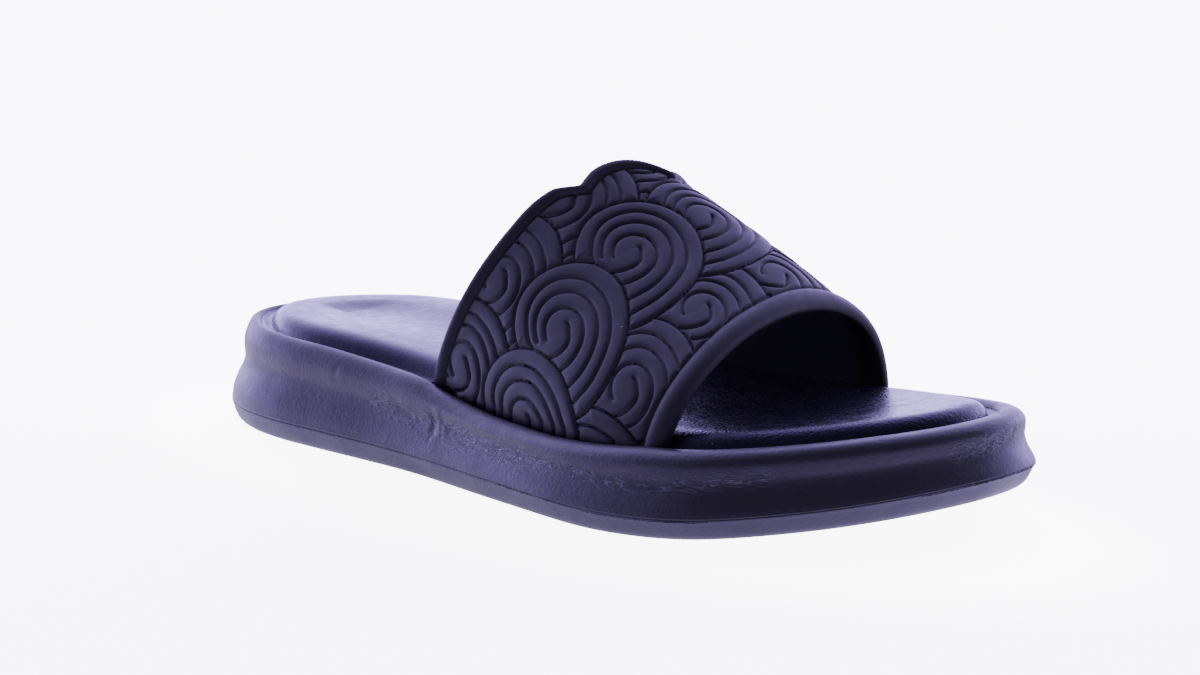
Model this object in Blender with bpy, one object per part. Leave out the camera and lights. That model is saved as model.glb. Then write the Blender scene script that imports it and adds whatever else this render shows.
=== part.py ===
"""Sport slide sandal for the right foot.

A moulded sole unit (thin outsole and thick midsole) carries a raised footbed pad.
One moulded strap with a rolled bead along both edges spans the foot, and its two
ends stand in the trench between the rim of the midsole and the pad.

Shoe sizes are in metres. Sections are worked out along the shoe from the heel (0)
to the toe (1) and across it from the lateral side (-) to the medial side (+).
The row frame has the toe towards -Y, the medial side towards +X and the ground at Z = 0.
"""
import math
from collections import namedtuple

import bmesh
import bpy
import numpy as np
from mathutils import Vector

# Main sizes of the shoe
SOLE_LENGTH = 0.255
SOLE_WIDTH = 0.1027          # widest across the ball, over the lip at the parting line
HEEL_HEIGHT = 0.0290         # thickness from the underside to the rim at the heel
TOE_HEIGHT = 0.0199          # the same at the toe
OUTSOLE_HEEL = 0.0063        # thickness from the underside to the parting line
OUTSOLE_TOE = 0.0052
THINNING_START = 0.325       # share of the length where the outsole begins to thin
TOE_SPRING = 0.0122          # lift of the underside at the toe
TOE_SPRING_START = 0.65      # share of the length
TOE_SPRING_POWER = 1.7
HEEL_LIFT = 0.0006
HEEL_LIFT_END = 0.12
RIM_SAG = 0.0008             # the rim's middle lies this far under its ends
ARCH_RELIEF = 0.0002         # the underside lifts this much under the arch
ARCH_START = 0.30
ARCH_END = 0.48
SPINE_START = 0.14           # the middle of the sole's top and bottom is drawn to a line
SPINE_END = 0.84             # between these shares of the length

# Fits
JOINT_GAP = 0.0003
SLOT_MARGIN = 0.0006         # the slots reach this far outside the strap's outer face

# Rim, trench and footbed pad
CREST_INSET = 0.0075         # from the widest outline in to the crest of the rim
RIM_LIP = 0.0017             # from the crest in to the wall of the trench
TRENCH_DEPTH = 0.0070        # from the crest down to the bed under the pad
VALLEY_DEPTH = 0.0027        # from the crest down to the flange of the pad
PAD_RISE = 0.0026            # the pad's edge stands this high over the rim
PAD_SHOULDER = 0.0046        # width of the rounded edge of the pad
HEEL_DISH = 0.0022           # depth of the heel cup
HEEL_DISH_CENTRE = 0.15      # places and half widths along the shoe are shares of its length
HEEL_DISH_REACH = 0.13
BALL_DISH = 0.0014
BALL_DISH_CENTRE = 0.68
BALL_DISH_REACH = 0.16
ARCH_SUPPORT = 0.0022        # rise of the pad on the medial side of the arch
ARCH_SUPPORT_CENTRE = 0.42
ARCH_SUPPORT_REACH = 0.10

# Strap
INSTEP_HEIGHT = 0.0810       # ground to the top of the strap's rear edge
STRAP_WALL = 0.0026
BEAD_RISE = 0.0010           # crest of a bead over the field, and groove beside it under
REAR_BEAD = 0.0041           # width
FRONT_BEAD = 0.0066          # width
FRONT_OVERHANG = 0.0033      # from the crest of the front bead to the open edge
REAR_OVERHANG = 0.0009       # from the rear arch out to the open edge
SLOT_RISE = 0.0012           # the slots in the pad reach this high over the rim
BASE_FLARE = 0.30            # share of the arch over which the strap leaves the rim's curve
CROWN_BULGE = 0.0019         # the strap swells this much between its edges
CROWN_START = 0.42           # shares of the arch between which it swells, and the width
CROWN_END = 0.94             # of the ease at either end
CROWN_EASE = 0.20

# Tread
TREAD_DEPTH = 0.0014
TREAD_GROOVE = 0.0030
TREAD_MARGIN = 0.0130
TREAD_BOW = 0.0040

# Mesh density
HALF_COUNT = 46              # stations along each side of the sole
STRAP_COUNT = 64             # stations around the strap
TREAD_STEPS = 4              # spans of a groove of the tread
ARC_SAMPLES = 401            # points along an arch when its length is measured
NORMAL_STEP = 0.002          # share of the strap between two points that give a slope
SHARP_ANGLE = 38.0           # edges sharper than this, in degrees, aren't smoothed over

TRENCH_INSET = CREST_INSET + RIM_LIP
STRAP_INSET = TRENCH_INSET + JOINT_GAP
FLANGE_INSET = TRENCH_INSET + JOINT_GAP
PAD_INSET = STRAP_INSET + BEAD_RISE + STRAP_WALL

WALL_SHARE = TRENCH_INSET / CREST_INSET

# Outline over the parting lip: half widths as shares of SOLE_WIDTH
OutlineRow = namedtuple("OutlineRow", "along lateral medial")
OUTLINE = (
    OutlineRow(0.010, 0.112, 0.131),
    OutlineRow(0.030, 0.194, 0.227),
    OutlineRow(0.060, 0.265, 0.314),
    OutlineRow(0.100, 0.321, 0.383),
    OutlineRow(0.160, 0.360, 0.430),
    OutlineRow(0.240, 0.376, 0.437),
    OutlineRow(0.340, 0.393, 0.420),
    OutlineRow(0.440, 0.432, 0.412),
    OutlineRow(0.540, 0.488, 0.425),
    OutlineRow(0.640, 0.534, 0.447),
    OutlineRow(0.720, 0.541, 0.457),
    OutlineRow(0.800, 0.513, 0.449),
    OutlineRow(0.870, 0.424, 0.402),
    OutlineRow(0.920, 0.334, 0.344),
    OutlineRow(0.960, 0.226, 0.278),
    OutlineRow(0.985, 0.116, 0.206),
)
TOE_TIP_ACROSS = 0.049       # share of SOLE_WIDTH, towards the medial side

# Rings of the sole unit, from the underside up. Heights are shares of the span that
# `datum` names; insets are shares of CREST_INSET at the heel and at the toe.
RingRow = namedtuple("RingRow", "name datum height heel_inset toe_inset blend")
OUTSOLE_RINGS = (
    RingRow("tread middle", "band", 0.00, 0.62, 0.80, 0.55),
    RingRow("tread edge", "band", 0.00, 0.62, 0.80, 0.0),
    RingRow("lower round", "band", 0.09, 0.36, 0.46, 0.0),
    RingRow("round", "band", 0.24, 0.21, 0.32, 0.0),
    RingRow("upper round", "band", 0.50, 0.10, 0.20, 0.0),
    RingRow("lip under", "band", 0.80, 0.03, 0.09, 0.0),
    RingRow("lip", "band", 1.00, 0.00, 0.00, 0.0),
    RingRow("joint", "band", 1.00, 1.20, 1.20, 0.0),
    RingRow("joint middle", "band", 1.00, 1.20, 1.20, 0.60),
)
MIDSOLE_RINGS = (
    RingRow("joint middle", "side", 0.00, 1.20, 1.20, 0.60),
    RingRow("joint", "side", 0.00, 1.20, 1.20, 0.0),
    RingRow("lip under", "side", 0.00, 0.08, 0.06, 0.0),
    RingRow("lip", "side", 0.05, 0.02, 0.02, 0.0),
    RingRow("flare", "side", 0.16, 0.09, 0.12, 0.0),
    RingRow("upper flare", "side", 0.29, 0.24, 0.25, 0.0),
    RingRow("lower waist", "side", 0.41, 0.43, 0.34, 0.0),
    RingRow("waist", "side", 0.53, 0.55, 0.39, 0.0),
    RingRow("upper waist", "side", 0.66, 0.54, 0.37, 0.0),
    RingRow("bulge", "side", 0.78, 0.55, 0.37, 0.0),
    RingRow("shoulder", "side", 0.88, 0.67, 0.46, 0.0),
    RingRow("upper shoulder", "side", 0.955, 0.83, 0.63, 0.0),
    RingRow("crest outside", "side", 0.992, 0.94, 0.84, 0.0),
    RingRow("crest", "side", 1.00, 1.00, 1.00, 0.0),
    RingRow("crest inside", "trench", 0.14, 1.195, 1.195, 0.0),
    RingRow("wall foot", "trench", 1.00, WALL_SHARE, WALL_SHARE, 0.0),
    RingRow("bed", "trench", 1.00, 2.40, 2.40, 0.0),
    RingRow("bed middle", "trench", 1.00, 2.40, 2.40, 0.60),
)

# Rings of the pad. Heights are shares of TRENCH_DEPTH over the bed, of VALLEY_DEPTH under
# the rim or of PAD_RISE over it; insets are shares of PAD_SHOULDER in from the pad's side,
# or of the flange's width out from it when negative
PadRow = namedtuple("PadRow", "name datum height inset blend dish")
PAD_RINGS = (
    PadRow("bed middle", "bed", 0.0, 2.20, 0.60, 0.0),
    PadRow("bed", "bed", 0.0, -0.90, 0.0, 0.0),
    PadRow("flange side", "bed", 0.08, -1.00, 0.0, 0.0),
    PadRow("flange edge", "valley", -0.44, -1.00, 0.0, 0.0),
    PadRow("valley", "valley", -0.86, -0.62, 0.0, 0.0),
    PadRow("valley inside", "valley", -0.86, -0.22, 0.0, 0.0),
    PadRow("side", "pad", -0.36, 0.08, 0.0, 0.0),
    PadRow("lower shoulder", "pad", 0.38, 0.26, 0.0, 0.0),
    PadRow("shoulder", "pad", 0.77, 0.55, 0.0, 0.0),
    PadRow("upper shoulder", "pad", 0.96, 0.95, 0.0, 0.0),
    PadRow("top edge", "pad", 1.03, 1.55, 0.0, 0.0),
    PadRow("top slope", "pad", 1.03, 2.40, 0.15, 0.35),
    PadRow("top bowl", "pad", 1.03, 2.40, 0.48, 0.80),
    PadRow("top middle", "pad", 1.03, 2.40, 0.80, 1.00),
)

# Arches of the strap: control points of two cubic curves from the lateral to the medial
# end, as shares of SOLE_LENGTH, SOLE_WIDTH and INSTEP_HEIGHT
ArchRow = namedtuple("ArchRow", "along across up")
REAR_ARCH = (
    ArchRow(0.396, -0.321, 0.287),
    ArchRow(0.420, -0.309, 0.964),
    ArchRow(0.638, 0.390, 1.474),
    ArchRow(0.444, 0.345, 0.298),
)
FRONT_ARCH = (
    ArchRow(0.732, -0.440, 0.271),
    ArchRow(0.752, -0.415, 0.681),
    ArchRow(0.748, 0.379, 0.851),
    ArchRow(0.757, 0.370, 0.308),
)

# Scalloped rear edge: place around the arch from -1 (lateral) to 1 (medial), and how far
# the edge is set in, as a share of REAR_BEAD
ScallopRow = namedtuple("ScallopRow", "around inset")
SCALLOPS = (
    ScallopRow(-1.000, 0.00),
    ScallopRow(-0.440, -0.05),
    ScallopRow(-0.250, -0.22),
    ScallopRow(-0.215, -0.10),
    ScallopRow(-0.180, 0.42),
    ScallopRow(-0.148, 0.86),
    ScallopRow(-0.120, 0.62),
    ScallopRow(-0.080, 0.27),
    ScallopRow(-0.005, 0.09),
    ScallopRow(0.050, 0.27),
    ScallopRow(0.097, 0.68),
    ScallopRow(0.133, 1.20),
    ScallopRow(0.165, 1.75),
    ScallopRow(0.200, 1.50),
    ScallopRow(0.250, 1.20),
    ScallopRow(0.330, 1.05),
    ScallopRow(0.410, 1.25),
    ScallopRow(0.460, 1.60),
    ScallopRow(0.495, 1.95),
    ScallopRow(0.530, 1.60),
    ScallopRow(0.600, 1.20),
    ScallopRow(0.700, 1.05),
    ScallopRow(0.850, 1.10),
    ScallopRow(1.000, 1.20),
)

# Cross-section of the strap. `place` is a share of the bead's width measured in from the
# edge; `rise` is a share of BEAD_RISE over the field
BeadRow = namedtuple("BeadRow", "place rise")
REAR_SECTION = (
    BeadRow(0.00, -0.90),
    BeadRow(0.09, 0.35),
    BeadRow(0.38, 1.00),
    BeadRow(0.72, 0.70),
    BeadRow(1.00, -0.80),
    BeadRow(1.30, -0.05),
)
FRONT_SECTION = (
    BeadRow(1.18, -0.05),
    BeadRow(0.98, -0.90),
    BeadRow(0.80, 0.55),
    BeadRow(0.50, 1.00),
    BeadRow(0.16, 0.50),
    BeadRow(0.00, -0.90),
)
FIELD_STEPS = 8              # spans of the strap between its beads
LINING_STEPS = 9             # spans of the strap's inner face
SLOT_STEPS = 12              # spans of the slots for the strap's feet

# Grooves of the tread, as shares of the length; flat lands between them bear on the ground
TREAD_STATIONS = (0.07, 0.11, 0.15, 0.25, 0.29, 0.50, 0.54, 0.62, 0.66, 0.70, 0.74, 0.78,
                  0.82, 0.86, 0.90)

Finish = namedtuple("Finish", "color roughness metallic")
FINISHES = {
    "outsole": Finish((0.045, 0.043, 0.070, 1.0), 0.48, 0.0),
    "midsole": Finish((0.032, 0.030, 0.052, 1.0), 0.42, 0.0),
    "insole": Finish((0.028, 0.024, 0.046, 1.0), 0.28, 0.0),
    "strap": Finish((0.030, 0.030, 0.048, 1.0), 0.62, 0.0),
}


def smoothstep(value):
    """Ease from 0 to 1."""
    clipped = min(max(value, 0.0), 1.0)
    return clipped * clipped * (3.0 - 2.0 * clipped)


def hermite(knots, values, place, period=None):
    """Smooth curve through (knots, values), closed when a period is given."""
    count = len(knots)
    if period is None:
        place = min(max(place, knots[0]), knots[-1])
        index = min(max(int(np.searchsorted(knots, place, side="right")) - 1, 0), count - 2)
        def knot(i):
            return knots[min(max(i, 0), count - 1)]
        def value(i):
            return values[min(max(i, 0), count - 1)]
    else:
        place = place % period
        index = int(np.searchsorted(knots, place, side="right")) - 1
        def knot(i):
            return knots[i % count] + period * (i // count)
        def value(i):
            return values[i % count]

    def slope(i):
        before = knot(i) - knot(i - 1)
        after = knot(i + 1) - knot(i)
        if before <= 0.0:
            return (value(i + 1) - value(i)) / after
        if after <= 0.0:
            return (value(i) - value(i - 1)) / before
        rise_before = (value(i) - value(i - 1)) / before
        rise_after = (value(i + 1) - value(i)) / after
        return (rise_before * after + rise_after * before) / (before + after)

    span = knot(index + 1) - knot(index)
    part = (place - knot(index)) / span
    start = value(index)
    end = value(index + 1)
    return ((2 * part ** 3 - 3 * part ** 2 + 1) * start
            + (part ** 3 - 2 * part ** 2 + part) * span * slope(index)
            + (3 * part ** 2 - 2 * part ** 3) * end
            + (part ** 3 - part ** 2) * span * slope(index + 1))


def outline_knots():
    """Angles around the outline (heel 0, toe pi) and the half widths at them."""
    angles = [0.0]
    widths = [0.0]
    for row in OUTLINE:
        angles.append(math.acos(1.0 - 2.0 * row.along))
        widths.append(-row.lateral * SOLE_WIDTH)
    angles.append(math.pi)
    widths.append(TOE_TIP_ACROSS * SOLE_WIDTH)
    for row in reversed(OUTLINE):
        angles.append(2.0 * math.pi - math.acos(1.0 - 2.0 * row.along))
        widths.append(row.medial * SOLE_WIDTH)
    return angles, widths


def outline_loop(half_count):
    """Points (along, across) of the outline: lateral side out, medial side back."""
    angles, widths = outline_knots()
    points = []
    for index in range(2 * half_count):
        angle = math.pi * index / half_count
        along = 0.5 * SOLE_LENGTH * (1.0 - math.cos(angle))
        points.append((along, hermite(angles, widths, angle, 2.0 * math.pi)))
    return np.array(points)


LOOP = outline_loop(HALF_COUNT)
CENTRE_ACROSS = 0.5 * (LOOP[:, 1].min() + LOOP[:, 1].max())


def loop_normals(points):
    """Unit vectors that point out of a loop in its plane."""
    along = np.roll(points, -1, axis=0) - np.roll(points, 1, axis=0)
    normals = np.stack([along[:, 1], -along[:, 0]], axis=1)
    return normals / np.linalg.norm(normals, axis=1)[:, None]


def inset_loop(insets, blend=0.0):
    """The outline moved in by `insets`, then drawn towards the spine by `blend`."""
    moved = LOOP - loop_normals(LOOP) * np.asarray(insets)[:, None]
    if blend == 0.0:
        return moved
    count = len(moved)
    partner = moved[(count - np.arange(count)) % count]
    spine_across = 0.5 * (moved[:, 1] + partner[:, 1])
    spine_along = np.clip(moved[:, 0], SPINE_START * SOLE_LENGTH, SPINE_END * SOLE_LENGTH)
    spine = np.stack([spine_along, spine_across], axis=1)
    return moved + (spine - moved) * blend


def spring_height(share):
    """Lift of the sole at the toe and heel."""
    toe = max(0.0, (share - TOE_SPRING_START) / (1.0 - TOE_SPRING_START))
    heel = max(0.0, (HEEL_LIFT_END - share) / HEEL_LIFT_END)
    return TOE_SPRING * toe ** TOE_SPRING_POWER + HEEL_LIFT * heel ** 2


def ground_height(share):
    """Height of the underside."""
    lift = 0.0
    if ARCH_START < share < ARCH_END:
        lift = math.sin(math.pi * (share - ARCH_START) / (ARCH_END - ARCH_START)) ** 2
    return spring_height(share) + ARCH_RELIEF * lift


def parting_height(share):
    """Height of the joint between outsole and midsole."""
    thinning = smoothstep((share - THINNING_START) / (1.0 - THINNING_START))
    return spring_height(share) + OUTSOLE_HEEL + (OUTSOLE_TOE - OUTSOLE_HEEL) * thinning


def rim_height(share):
    """Height of the crest of the rim."""
    heel = HEEL_HEIGHT - OUTSOLE_HEEL
    toe = TOE_HEIGHT - OUTSOLE_TOE
    sag = RIM_SAG * math.sin(math.pi * min(max(share, 0.0), 1.0)) ** 2
    return parting_height(share) + heel + (toe - heel) * share - sag


def dish_depth(share):
    """Depth of the footbed's bowl along the shoe."""
    heel = math.exp(-((share - HEEL_DISH_CENTRE) / HEEL_DISH_REACH) ** 2)
    ball = math.exp(-((share - BALL_DISH_CENTRE) / BALL_DISH_REACH) ** 2)
    return HEEL_DISH * heel + BALL_DISH * ball


def place(along, across, up):
    """A point of the shoe in the row frame."""
    return Vector((across - CENTRE_ACROSS, 0.5 * SOLE_LENGTH - along, up))


def share_of(along):
    """Distance along the shoe as a share of its length."""
    return along / SOLE_LENGTH


def sole_ring(row):
    """Points of one ring of the outsole or midsole."""
    shares = LOOP[:, 0] / SOLE_LENGTH
    insets = CREST_INSET * (row.heel_inset + (row.toe_inset - row.heel_inset) * shares)
    points = []
    for along, across in inset_loop(insets, row.blend):
        share = share_of(along)
        parting = parting_height(share)
        if row.datum == "band":
            ground = ground_height(share)
            top = parting - 0.5 * JOINT_GAP
            up = ground + row.height * (top - ground)
        elif row.datum == "side":
            low = parting + 0.5 * JOINT_GAP
            up = low + row.height * (rim_height(share) - low)
        else:
            up = rim_height(share) - row.height * TRENCH_DEPTH
        points.append(place(along, across, up))
    return points


def pad_ring(row):
    """Points of one ring of the footbed pad."""
    if row.inset < 0.0:
        inset = PAD_INSET + row.inset * (PAD_INSET - FLANGE_INSET)
    else:
        inset = PAD_INSET + row.inset * PAD_SHOULDER
    insets = np.full(len(LOOP), inset)
    points = []
    for index, (along, across) in enumerate(inset_loop(insets, row.blend)):
        share = share_of(along)
        if row.datum == "bed":
            up = rim_height(share) - TRENCH_DEPTH * (1.0 - row.height) + JOINT_GAP
        elif row.datum == "valley":
            up = rim_height(share) + row.height * VALLEY_DEPTH
        else:
            up = rim_height(share) + row.height * PAD_RISE - row.dish * dish_depth(share)
            if row.height > 1.0 and index > HALF_COUNT:
                side = math.sin(math.pi * (index - HALF_COUNT) / HALF_COUNT)
                arch = math.exp(-((share - ARCH_SUPPORT_CENTRE) / ARCH_SUPPORT_REACH) ** 2)
                up += ARCH_SUPPORT * arch * side * (1.0 - row.blend)
        points.append(place(along, across, up))
    return points


def mesh_from_rings(name, rings):
    """A closed body from rings that have matching points, its ends bridged side to side."""
    mesh = bpy.data.meshes.new(name)
    body = bmesh.new()
    layers = [[body.verts.new(point) for point in ring] for ring in rings]
    count = len(layers[0])
    for lower, upper in zip(layers, layers[1:]):
        for index in range(count):
            after = (index + 1) % count
            body.faces.new((lower[index], lower[after], upper[after], upper[index]))
    for layer, flip in ((layers[0], True), (layers[-1], False)):
        for index in range(count // 2):
            loop = [layer[index], layer[index + 1], layer[-index - 1], layer[-index]]
            corners = list(dict.fromkeys(loop))
            body.faces.new(corners[::-1] if flip else corners)
    bmesh.ops.recalc_face_normals(body, faces=body.faces)
    body.to_mesh(mesh)
    body.free()
    return mesh


def bezier(rows, share):
    """Point of one arch of the strap as (along, across, up)."""
    weights = ((1 - share) ** 3, 3 * share * (1 - share) ** 2,
               3 * share ** 2 * (1 - share), share ** 3)
    scale = np.array([SOLE_LENGTH, SOLE_WIDTH, INSTEP_HEIGHT])
    return sum(weight * np.array(row) * scale for weight, row in zip(weights, rows))


STRAP_LINE = inset_loop(np.full(len(LOOP), STRAP_INSET))


def rim_side(along, medial):
    """Across position of the strap's foot line at a distance along the shoe."""
    if medial:
        side = STRAP_LINE[HALF_COUNT:][::-1]
    else:
        side = STRAP_LINE[:HALF_COUNT + 1]
    return float(np.interp(along, side[:, 0], side[:, 1]))


def strap_surface(around, along):
    """Surface over the beads' crests: around 0 to 1 across the foot, along 0 to 1 forward."""
    rear = bezier(REAR_ARCH, around)
    front = bezier(FRONT_ARCH, around)
    point = rear + (front - rear) * along
    rising = smoothstep((around - CROWN_START) / CROWN_EASE)
    falling = smoothstep((CROWN_END - around) / CROWN_EASE)
    between = 4.0 * along * (1.0 - along)
    point[2] += CROWN_BULGE * rising * falling * max(between, 0.0)
    for end, medial in ((0.0, False), (1.0, True)):
        distance = abs(around - end)
        if distance < BASE_FLARE:
            foot = bezier(REAR_ARCH, end) * (1.0 - along) + bezier(FRONT_ARCH, end) * along
            shift = rim_side(foot[0], medial) - foot[1]
            point[1] += shift * (1.0 - smoothstep(distance / BASE_FLARE))
    return point


def strap_normal(around, along):
    """Outward normal of the surface over the beads' crests."""
    low = max(around - NORMAL_STEP, 0.0)
    high = min(around + NORMAL_STEP, 1.0)
    across = strap_surface(high, along) - strap_surface(low, along)
    ahead = strap_surface(around, along + NORMAL_STEP)
    forward = ahead - strap_surface(around, along - NORMAL_STEP)
    normal = np.cross(forward, across)
    return normal / np.linalg.norm(normal)


def arch_stations():
    """Stations at equal steps of the rear arch, and their places from -1 to 1."""
    fine = np.linspace(0.0, 1.0, ARC_SAMPLES)
    curve = np.array([bezier(REAR_ARCH, share) for share in fine])
    steps = np.linalg.norm(np.diff(curve, axis=0), axis=1)
    length = np.concatenate([[0.0], np.cumsum(steps)])
    places = np.linspace(0.0, 1.0, STRAP_COUNT)
    return np.interp(places * length[-1], length, fine), 2.0 * places - 1.0


def scallop_inset(around):
    """How far the rear edge is set in at a place around the arch."""
    knots = [row.around for row in SCALLOPS]
    values = [row.inset * REAR_BEAD for row in SCALLOPS]
    return hermite(knots, values, around)


def strap_section(around, station_place):
    """Closed section of the strap: places along it and heights over its beads' crests."""
    rear = bezier(REAR_ARCH, around)
    front = bezier(FRONT_ARCH, around)
    ruling = float(np.linalg.norm(front - rear))
    edge = scallop_inset(station_place) - REAR_OVERHANG
    length = ruling + FRONT_OVERHANG
    outer = []
    for row in REAR_SECTION:
        place_in = edge + row.place * REAR_BEAD
        outer.append((place_in, (row.rise - 1.0) * BEAD_RISE))
    front_rows = [(length - row.place * FRONT_BEAD, (row.rise - 1.0) * BEAD_RISE)
                  for row in FRONT_SECTION]
    start = outer[-1][0]
    stop = front_rows[0][0]
    for step in range(1, FIELD_STEPS):
        outer.append((start + (stop - start) * step / FIELD_STEPS, -BEAD_RISE))
    outer.extend(front_rows)
    inner = []
    for step in range(LINING_STEPS + 1):
        share = step / LINING_STEPS
        inner.append((length - (length - edge) * share, -BEAD_RISE - STRAP_WALL))
    return [(position / ruling, height) for position, height in outer + inner]


def strap_rings():
    """Sections of the strap from its lateral foot to its medial foot."""
    stations, places = arch_stations()
    rings = []
    for around, station_place in zip(stations, places):
        ring = []
        for along, height in strap_section(around, station_place):
            point = strap_surface(around, along) + strap_normal(around, along) * height
            ring.append(point)
        rings.append(ring)
    feet = []
    for ring in (rings[0], rings[-1]):
        foot = []
        for point in ring:
            floor = rim_height(share_of(point[0])) - TRENCH_DEPTH + JOINT_GAP
            foot.append(np.array([point[0], point[1], floor]))
        feet.append(foot)
    return [feet[0]] + rings + [feet[1]]


def strap_mesh(name):
    """The strap as one closed body; its feet are closed with flat-sided ends."""
    mesh = bpy.data.meshes.new(name)
    body = bmesh.new()
    layers = [[body.verts.new(place(*point)) for point in ring] for ring in strap_rings()]
    count = len(layers[0])
    for lower, upper in zip(layers, layers[1:]):
        for index in range(count):
            after = (index + 1) % count
            body.faces.new((lower[index], upper[index], upper[after], lower[after]))
    outer_count = len(REAR_SECTION) + FIELD_STEPS - 1 + len(FRONT_SECTION)
    for layer in (layers[0], layers[-1]):
        outer = layer[:outer_count]
        inner = layer[outer_count:][::-1]
        bridge_strip(body, outer, inner)
    bmesh.ops.recalc_face_normals(body, faces=body.faces)
    body.to_mesh(mesh)
    body.free()
    return mesh


def bridge_strip(body, first, second):
    """Fill between two open lines of points, each read in the same direction."""
    i = 0
    j = 0
    while i < len(first) - 1 or j < len(second) - 1:
        ahead_first = i < len(first) - 1
        ahead_second = j < len(second) - 1
        if ahead_first and ahead_second:
            across_first = (first[i + 1].co - second[j].co).length
            across_second = (second[j + 1].co - first[i].co).length
            take_first = across_first <= across_second
        else:
            take_first = ahead_first
        if take_first:
            body.faces.new((first[i], first[i + 1], second[j]))
            i += 1
        else:
            body.faces.new((first[i], second[j + 1], second[j]))
            j += 1


def slot_cutter_mesh(name):
    """Blocks that cut the slots in the pad for the two feet of the strap."""
    mesh = bpy.data.meshes.new(name)
    body = bmesh.new()
    for end in (0.0, 1.0):
        rear = bezier(REAR_ARCH, end)
        front = bezier(FRONT_ARCH, end)
        ruling = float(np.linalg.norm(front - rear))
        start = scallop_inset(2.0 * end - 1.0) - REAR_OVERHANG - JOINT_GAP
        stop = ruling + FRONT_OVERHANG + JOINT_GAP
        sections = []
        for step in range(SLOT_STEPS + 1):
            along = (start + (stop - start) * step / SLOT_STEPS) / ruling
            point = strap_surface(end, along)
            normal = strap_normal(end, along)
            normal[2] = 0.0
            normal /= np.linalg.norm(normal)
            rim = rim_height(share_of(point[0]))
            section = []
            for out, up in ((1.0, -1.0), (-1.0, -1.0), (-1.0, 1.0), (1.0, 1.0)):
                if out > 0.0:
                    offset = SLOT_MARGIN
                else:
                    offset = -BEAD_RISE - STRAP_WALL - JOINT_GAP
                height = rim + (SLOT_RISE if up > 0.0 else -TRENCH_DEPTH - JOINT_GAP)
                corner = point + normal * offset
                section.append(body.verts.new(place(corner[0], corner[1], height)))
            sections.append(section)
        body.faces.new(sections[0])
        body.faces.new(sections[-1][::-1])
        for lower, upper in zip(sections, sections[1:]):
            for index in range(4):
                after = (index + 1) % 4
                body.faces.new((lower[index], upper[index], upper[after], lower[after]))
    bmesh.ops.recalc_face_normals(body, faces=body.faces)
    body.to_mesh(mesh)
    body.free()
    return mesh


def tread_cutter_mesh(name):
    """Bowed bars that cut the grooves of the tread."""
    mesh = bpy.data.meshes.new(name)
    body = bmesh.new()
    edge = inset_loop(np.full(len(LOOP), TREAD_MARGIN))
    lateral = edge[:HALF_COUNT + 1]
    medial = edge[HALF_COUNT:][::-1]
    for station in TREAD_STATIONS:
        along = station * SOLE_LENGTH
        left = float(np.interp(along, lateral[:, 0], lateral[:, 1]))
        right = float(np.interp(along, medial[:, 0], medial[:, 1]))
        sections = []
        for step in range(TREAD_STEPS + 1):
            share = step / TREAD_STEPS
            across = left + (right - left) * share
            middle = along + TREAD_BOW * math.sin(math.pi * share)
            ground = ground_height(share_of(middle))
            corners = ((-0.5, -TREAD_DEPTH), (0.5, -TREAD_DEPTH),
                       (0.5, TREAD_DEPTH), (-0.5, TREAD_DEPTH))
            section = []
            for width, depth in corners:
                section.append(body.verts.new(
                    place(middle + width * TREAD_GROOVE, across, ground + depth)))
            sections.append(section)
        body.faces.new(sections[0])
        body.faces.new(sections[-1][::-1])
        for lower, upper in zip(sections, sections[1:]):
            for index in range(4):
                after = (index + 1) % 4
                body.faces.new((lower[index], upper[index], upper[after], lower[after]))
    bmesh.ops.recalc_face_normals(body, faces=body.faces)
    body.to_mesh(mesh)
    body.free()
    return mesh


def make_material(name):
    """Principled material of one piece."""
    finish = FINISHES[name]
    material = bpy.data.materials.new(name)
    material.use_nodes = True
    shader = material.node_tree.nodes["Principled BSDF"]
    shader.inputs["Base Color"].default_value = finish.color
    shader.inputs["Roughness"].default_value = finish.roughness
    shader.inputs["Metallic"].default_value = finish.metallic
    material.diffuse_color = finish.color
    return material


def add_object(name, mesh, collection):
    """A named object that holds a mesh."""
    part = bpy.data.objects.new(name, mesh)
    collection.objects.link(part)
    return part


def finish_piece(part):
    """Give a piece its material and its shading."""
    part.data.materials.append(make_material(part.name))
    for polygon in part.data.polygons:
        polygon.use_smooth = True
    part.data.set_sharp_from_angle(angle=math.radians(SHARP_ANGLE))


def cut(part, cutter):
    """Take a cutter's shape out of a piece."""
    modifier = part.modifiers.new("cut " + cutter.name, "BOOLEAN")
    modifier.operation = "DIFFERENCE"
    modifier.solver = "EXACT"
    modifier.object = cutter


def new_collection(name):
    """A collection linked to the scene."""
    collection = bpy.data.collections.new(name)
    bpy.context.scene.collection.children.link(collection)
    return collection


def main():
    """Build every piece of the sandal."""
    for old in list(bpy.data.objects):
        bpy.data.objects.remove(old, do_unlink=True)
    pieces = new_collection("slide_sandal")
    cutters = new_collection("slide_sandal_cutters")

    outsole = add_object(
        "outsole", mesh_from_rings("outsole", [sole_ring(row) for row in OUTSOLE_RINGS]), pieces)
    midsole = add_object(
        "midsole", mesh_from_rings("midsole", [sole_ring(row) for row in MIDSOLE_RINGS]), pieces)
    insole = add_object(
        "insole", mesh_from_rings("insole", [pad_ring(row) for row in PAD_RINGS]), pieces)
    strap = add_object("strap", strap_mesh("strap"), pieces)

    tread_cutter = add_object("tread_cutter", tread_cutter_mesh("tread_cutter"), cutters)
    tread_cutter.hide_render = True
    tread_cutter.display_type = "WIRE"
    cut(outsole, tread_cutter)
    slot_cutter = add_object("slot_cutter", slot_cutter_mesh("slot_cutter"), cutters)
    slot_cutter.hide_render = True
    slot_cutter.display_type = "WIRE"
    cut(insole, slot_cutter)

    for part in (outsole, midsole, insole, strap):
        finish_piece(part)


main()
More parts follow.
